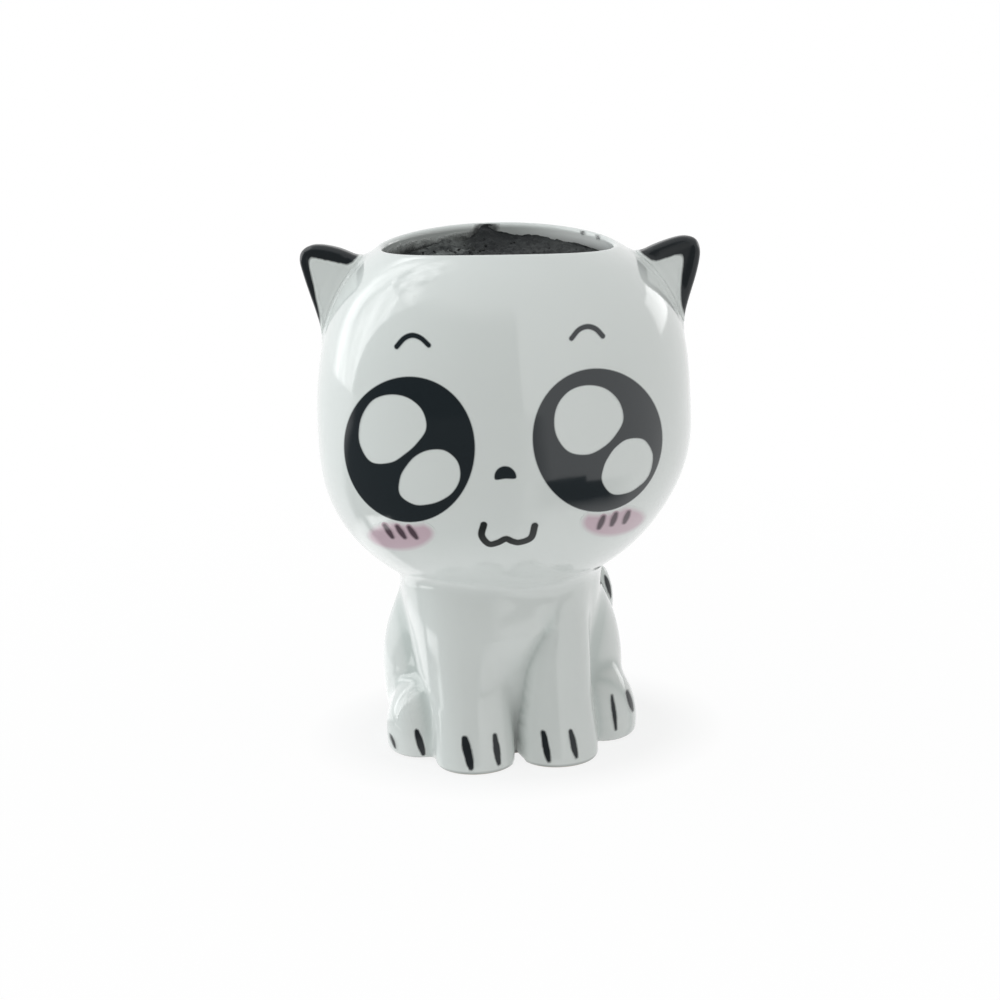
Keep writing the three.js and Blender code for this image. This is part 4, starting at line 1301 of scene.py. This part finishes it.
class PLANTER_OT_ears(bpy.types.Operator):
    """Model the two ears from cross-sections and paint their borders"""

    bl_idname = "planter.ears"
    bl_label = "Ears"

    def paint(self, ear, bare):
        """A film over the ear where the brush went: outside the bare corner, and clear of the head."""
        bm = ear.mesh()
        points = ear.shape(bm)
        root, corner, foot = np.array(bare)
        out = math.copysign(1, corner[0])
        sides = []
        for start, end in ((root, corner), (corner, foot)):
            along = (end - start) / np.linalg.norm(end - start)
            sides.append((points[:, [0, 2]] - start) @ (np.array((-along[1], along[0])) * out))
        painted = -smooth_min(-sides[0], -sides[1], BARE_CORNER)
        painted = smooth_min(painted, ear.head.distance(points) - PAINT_OFF, PAINT_FADE)
        cover = bm.verts.layers.float.new("cover")
        for vert, depth in zip(bm.verts, painted):
            vert[cover] = depth
        gone = [face for face in bm.faces if all(vert[cover] < -0.1 for vert in face.verts)]
        bmesh.ops.delete(bm, geom=gone, context="FACES")
        face = closed_film(bm)
        move(bm.verts, ear.shape(bm, np.where(face, FILM[1], FILM[0])))
        return bm

    def execute(self, context):
        head, _ = head_and_body(context)
        for name, (outline, bare) in EARS.items():
            ear = EarForm(context.scene.planter_ears, outline, head)
            plain = ear.mesh()
            move(plain.verts, ear.shape(plain))
            border = self.paint(ear, bare)
            for bm in (plain, border):
                bmesh.ops.recalc_face_normals(bm, faces=bm.faces)
            make_piece(plain, f"{name}_ear", WHITE, f"ear_{name}")
            make_piece(border, f"{name}_ear_border", BRUSHED, f"ear_edge_{name}", sharp=BORDER_EDGE)
        return {"FINISHED"}


class PLANTER_OT_tail(bpy.types.Operator):
    """Roll the tail, bend it round the haunch and brush its mark on"""

    bl_idname = "planter.tail"
    bl_label = "Tail"

    def execute(self, context):
        _, body = head_and_body(context)
        tail = TailForm(context.scene.planter_tail, body)
        dome = tail.length - tail.tip_radius * (1 - np.sin(np.linspace(0, np.pi / 2, 10)))
        places = np.concatenate([np.linspace(0, tail.length - tail.tip_radius, 90)[:-1], dome])[:-1]
        bm, _ = spun([(0, 0), *zip(tail.radius(places), places), (0, tail.length)], TAIL_STEPS, closed=False)
        x, y, place = points_of(bm.verts).T
        move(bm.verts, tail.bend(place, np.arctan2(y, x), np.hypot(x, y)))
        bmesh.ops.recalc_face_normals(bm, faces=bm.faces)
        make_piece(bm, "curled_tail", WHITE, "tail")
        ends = np.array([(across, tail.length - back) for across, back in TAIL_MARK])
        around = tail.facing(TAIL_MARK_FACING, tail.length - 6)

        def surface(flat, lift):
            place = np.clip(flat[:, 1], 0, tail.length - 0.4)
            radius = tail.radius(place)
            return tail.bend(place, around + flat[:, 0] / np.maximum(radius, 1), radius + lift)

        stroke = within_stroke(resample(ends, TAIL_MARK_POINTS), TAIL_MARK_WIDTH, tail_taper)
        mark("tail_stroke", "tail_mark", BRUSHED, surface, stroke, ends, TAIL_GRID)
        return {"FINISHED"}


class PLANTER_OT_face(bpy.types.Operator):
    """Print the eyes, brows, nose and mouth on the head"""

    bl_idname = "planter.face"
    bl_label = "Face"

    def execute(self, context):
        head, _ = head_and_body(context)
        for name, (centre, half, turn) in EYES.items():
            glints = [within_loop(through(loop, GLINT_STEPS, True)) for loop in GLINTS[name]]
            shape = without(within_ellipse(centre, half, turn), *glints)
            grid = (half[0] + OVAL_MARGIN, EYE_PITCH)
            mark(f"{name}_eye", f"eye_{name}", EYE_PRINT, head.on_front, shape, [centre], grid)
        for name, knots in BROWS.items():
            line = through(knots, PRINT_STEPS, False)
            shape = within_stroke(line, BROW_WIDTH)
            mark(f"{name}_brow", f"brow_{name}", BLACK_PRINT, head.on_front, shape, line, STROKE_GRID)
        loop = through(NOSE, PRINT_STEPS, True)
        mark("nose_print", "nose", BLACK_PRINT, head.on_front, within_loop(loop), loop, NOSE_GRID)
        line = through(MOUTH, PRINT_STEPS, False)
        shape = within_stroke(line, MOUTH_WIDTH)
        mark("mouth_line", "mouth", LINE_PRINT, head.on_front, shape, line, STROKE_GRID)
        return {"FINISHED"}


class PLANTER_OT_cheeks(bpy.types.Operator):
    """Print the pink cheeks and their strokes"""

    bl_idname = "planter.cheeks"
    bl_label = "Cheeks"

    def execute(self, context):
        head, _ = head_and_body(context)
        for name, (centre, half, turn) in CHEEKS.items():
            oval = within_ellipse(centre, [side + CHEEK_FADE for side in half], turn)
            shape = without(oval, within_ellipse(*EYES[name]))
            grid = (half[0] + OVAL_MARGIN, CHEEK_PITCH)
            mark(f"{name}_cheek", f"cheek_{name}", BLUSH_PRINT, head.on_front, shape, [centre], grid)
            for index, ends in enumerate(CHEEK_STROKES[name], 1):
                line = resample(np.array(ends), CHEEK_STROKE_POINTS)
                shape = within_stroke(line, CHEEK_STROKE_WIDTH, cheek_taper)
                piece, node = f"{name}_cheek_stroke_{index}", f"cheek_stroke_{name}_{index}"
                mark(piece, node, STROKE_PRINT, head.on_front, shape, line, CHEEK_STROKE_GRID, SECOND_FILM)
        return {"FINISHED"}


class PLANTER_OT_claws(bpy.types.Operator):
    """Brush the claws on the paws"""

    bl_idname = "planter.claws"
    bl_label = "Claws"

    def execute(self, context):
        _, body = head_and_body(context)
        for name, (top, foot, width) in CLAWS.items():
            line = resample(np.array((top, foot)), CLAW_POINTS)
            shape = within_stroke(line, width, claw_taper)
            mark(f"{name}_claw", f"claw_{name}", BRUSHED, body.on_front, shape, line, STROKE_GRID)
        return {"FINISHED"}


class PLANTER_OT_soil(bpy.types.Operator):
    """Fill the planter with soil, heaped against the back wall, and strew crumbs on it"""

    bl_idname = "planter.soil"
    bl_label = "Soil"

    def execute(self, context):
        head, _ = head_and_body(context)
        soil = SoilForm(context.scene.planter_soil, head)
        wall = head.inner_wall(SOIL_CLEARANCE)
        edge = wall[np.argmax(wall[:, 1] < soil.level)]
        wall = wall[wall[:, 1] < soil.level - 1]
        wall = wall[whole_steps(0, len(wall) - 1, SOIL_WALL_ROWS)]
        top = [(part * edge[0], soil.level) for part in np.linspace(0, 1, SOIL_ROWS)]
        bm, row = spun([*top, *wall, *SOIL_INSIDE], SOIL_STEPS, closed=False)
        dry = bm.verts.layers.float.new("dry")
        points = points_of(bm.verts)
        rng = np.random.default_rng(11)
        grain = rng.normal(0, soil.grain / 2, len(points))
        bedded = head.inner_wall(-SOIL_BED)
        for index, vert in enumerate(bm.verts):
            if row[index] >= SOIL_ROWS:
                continue
            x, y, _ = points[index]
            far = math.hypot(x, y)
            loose = min(1.0, far / 14) ** 2
            lump = (1 - loose) * soil.grain * noise.noise(Vector((x, y, 0)) * 0.6)
            last = row[index] == SOIL_ROWS - 1
            z = soil.height(x, y) + lump + (0 if last else grain[index] * loose)
            patch = min(1.0, max(0.0, 0.75 + 1.3 * noise.noise(Vector((x, y, 5)) * 0.25)))
            vert[dry] = 1.1 * patch * side_of(x, *DRY) + 0.1 * side_of(x, *HALF_DRY)
            wide = np.interp(-z, -bedded[:, 1], bedded[:, 0])
            inward = wide / far if last or far > wide else 1
            points[index] = (x * inward, y * inward, z)
        move(bm.verts, head.settle(points))
        bmesh.ops.recalc_face_normals(bm, faces=bm.faces)
        make_piece(bm, "soil", EARTH, "potting_soil")
        self.crumbs(soil, rng)
        return {"FINISHED"}

    def crumbs(self, soil, rng):
        """Loose crumbs, most of them on the dry side and larger at the clump."""
        bm = bmesh.new()
        dry = bm.verts.layers.float.new("dry")
        for _ in range(soil.crumbs):
            turn = rng.uniform(0, math.tau)
            reach = CRUMB_REACH * math.sqrt(rng.uniform(0, 1))
            x, y = reach * math.cos(turn), reach * math.sin(turn)
            if x > -2 and rng.uniform(0, 1) > 0.2:
                continue
            size = rng.uniform(*CRUMB_SIZE) * (CLUMP_CRUMBS if abs(x + 5) < 4 and y > 18 else 1)
            made = bmesh.ops.create_icosphere(bm, subdivisions=1, radius=size)["verts"]
            stretch = Matrix.Diagonal(Vector(rng.uniform(0.6, 1.2, 3)))
            spin = Euler(rng.uniform(0, math.tau, 3)).to_matrix()
            bmesh.ops.transform(bm, matrix=(spin @ stretch).to_4x4(), verts=made)
            z = float(soil.height(x, y)) + 0.3 * size
            pale = rng.uniform(0, 0.7) * (0.8 if x < -6 else 0.3)
            for vert in made:
                vert.co += vert.co.normalized() * rng.uniform(-0.2, 0.2) * size
                vert.co += Vector((x, y, z))
                vert[dry] = pale
        move(bm.verts, soil.head.settle(points_of(bm.verts)))
        make_piece(bm, "soil_crumbs", EARTH, sharp=CRUMB_EDGE)


class PLANTER_OT_finishes(bpy.types.Operator):
    """Mix the glazes, prints and soil"""

    bl_idname = "planter.finishes"
    bl_label = "Finishes"

    def execute(self, context):
        finish = context.scene.planter_finish
        white_glaze(finish)
        brushed_glaze("brushed_black", finish.black, finish.glaze)
        transfer("printed_eye", finish.eye, finish.eye_pale, finish.glaze, 0.3, ior=1.65)
        transfer("printed_line", finish.line, finish.line_pale, finish.glaze, 0.25)
        transfer("printed_blush", finish.blush, finish.blush_pale, finish.glaze, 1.6)
        transfer("printed_stroke", finish.stroke, finish.stroke_pale, finish.blush, 0.6)
        potting_soil(finish)
        return {"FINISHED"}


class PLANTER_OT_studio(bpy.types.Operator):
    """Set the floor, the lights and the camera"""

    bl_idname = "planter.studio"
    bl_label = "Studio"

    def lamp(self, scene, name, power):
        size, place, tint = LAMPS[name]
        data = bpy.data.lights.new(name, "AREA")
        data.shape = "RECTANGLE"
        data.size, data.size_y = size
        data.energy = power
        data.color = tint
        made = bpy.data.objects.new(name, data)
        made.location = place
        made.rotation_euler = (Vector(LIT_POINT) - Vector(place)).to_track_quat("-Z", "Y").to_euler()
        made.visible_glossy = False
        scene.collection.objects.link(made)

    def world(self, scene, fill):
        scene.world = bpy.data.worlds.new("studio")
        shade = Shade(scene.world)
        light = shade.value("Background", {}, {"Color": FILL_TINT, "Strength": fill})
        white = shade.value("Background", {}, {"Color": (1, 1, 1, 1)})
        shade.close("World", shade.layered(shade.background_rays(), light, white))

    def floor(self):
        bm = bmesh.new()
        bmesh.ops.create_grid(bm, x_segments=1, y_segments=1, size=FLOOR_HALF)
        shade = Shade.material("floor")
        matte = shade.value("BsdfDiffuse", {}, {"Color": FLOOR_TONE})
        white = shade.value("Emission", {}, {"Color": (1, 1, 1, 1), "Strength": 1.0})
        away = shade.value("VectorMath", {"operation": "LENGTH"}, {0: shade.place()}, "Value")
        brighter = 0.46 + 0.15 * away.ramp(0.038, 0.055) + 0.03 * away.ramp(0.055, 0.3)
        pale = 0.36 + shade.background_rays() * brighter
        floor = set_stage(bm, "floor", shade.close("Material", shade.layered(pale, matte, white)))
        floor.location.z = -FLOOR_DROP

    def reflections(self):
        """Screens round the planter that only its gloss mirrors."""
        bm = bmesh.new()
        glow, streak, seen = (bm.verts.layers.float.new(name) for name in ("glow", "streak", "seen"))
        for (fade_in, fade_out), stations, level, streaky in REFLECTIONS.values():
            rows = []
            for part in np.linspace(0, 1, SCREEN_STEPS):
                row = []
                for start, end, radius, height, shown in stations:
                    span = end - start
                    turn = math.radians(start + part * span)
                    vert = bm.verts.new((math.sin(turn) * radius, -math.cos(turn) * radius, height))
                    first = part * span / fade_in if fade_in else 1
                    last = (1 - part) * span / fade_out if fade_out else 1
                    vert[glow], vert[streak], vert[seen] = level, streaky, shown * min(1, first, last)
                    row.append(vert)
                rows.append(row)
            for one, two in zip(rows, rows[1:]):
                for corners in zip(one, one[1:], two[1:], two):
                    bm.faces.new(corners)
        shade = Shade.material("reflection")
        wave = shade.pattern("screen_streaks").ramp(0.36, 0.62)
        level = shade.attribute("glow") * (1 - shade.attribute("streak") * (1 - wave))
        lit = shade.value("Emission", {}, {"Color": level})
        clear = shade.value("BsdfTransparent", {}, {})
        material = shade.close("Material", shade.layered(shade.attribute("seen"), clear, lit))
        made = set_stage(bm, "reflections", material)
        made.visible_camera = made.visible_diffuse = made.visible_shadow = made.visible_transmission = False

    def camera(self, scene, studio):
        data = bpy.data.cameras.new("camera")
        data.lens = studio.lens
        data.sensor_width = SENSOR
        data.clip_start, data.clip_end = 0.01, 20
        camera = bpy.data.objects.new("camera", data)
        scene.collection.objects.link(camera)
        place = Matrix.Translation((0, -studio.distance, studio.height)) @ Matrix.Rotation(studio.yaw, 4, "Z")
        tilt = Matrix.Rotation(math.pi / 2 - studio.pitch, 4, "X") @ Matrix.Rotation(studio.roll, 4, "Z")
        camera.matrix_world = place @ tilt
        scene.camera = camera

    def execute(self, context):
        scene = context.scene
        studio = scene.planter_studio
        self.floor()
        self.world(scene, studio.fill)
        for name in LAMPS:
            self.lamp(scene, name, getattr(studio, name))
        self.reflections()
        self.camera(scene, studio)
        scene.view_settings.view_transform = "Standard"
        return {"FINISHED"}


STEPS = (
    PLANTER_OT_finishes,
    PLANTER_OT_head,
    PLANTER_OT_body,
    PLANTER_OT_ears,
    PLANTER_OT_tail,
    PLANTER_OT_face,
    PLANTER_OT_cheeks,
    PLANTER_OT_claws,
    PLANTER_OT_soil,
    PLANTER_OT_studio,
)
GROUPS = {
    "planter_head": PlanterHeadSizes,
    "planter_body": PlanterBodySizes,
    "planter_ears": PlanterEarSizes,
    "planter_tail": PlanterTailSizes,
    "planter_soil": PlanterSoilSizes,
    "planter_finish": PlanterFinish,
    "planter_studio": PlanterStudio,
}


class PLANTER_PT_panel(bpy.types.Panel):
    """Lists the planter's steps in the order in which they run"""

    bl_idname = "PLANTER_PT_panel"
    bl_label = "Cat Planter"
    bl_space_type = "VIEW_3D"
    bl_region_type = "UI"
    bl_category = "Planter"

    def draw(self, context):
        for step in STEPS:
            self.layout.operator(step.bl_idname)
        for name, group in GROUPS.items():
            column = self.layout.column(heading=name)
            for key in group.__annotations__:
                column.prop(getattr(context.scene, name), key)


def register():
    for group in GROUPS.values():
        bpy.utils.register_class(group)
    for step in STEPS:
        bpy.utils.register_class(step)
    bpy.utils.register_class(PLANTER_PT_panel)
    for name, group in GROUPS.items():
        setattr(bpy.types.Scene, name, PointerProperty(type=group))


def unregister():
    for name in GROUPS:
        delattr(bpy.types.Scene, name)
    bpy.utils.unregister_class(PLANTER_PT_panel)
    for step in reversed(STEPS):
        bpy.utils.unregister_class(step)
    for group in reversed(list(GROUPS.values())):
        bpy.utils.unregister_class(group)


def main():
    register()
    for step in STEPS:
        area, name = step.bl_idname.split(".")
        getattr(getattr(bpy.ops, area), name)()


if __name__ == "__main__":
    main()
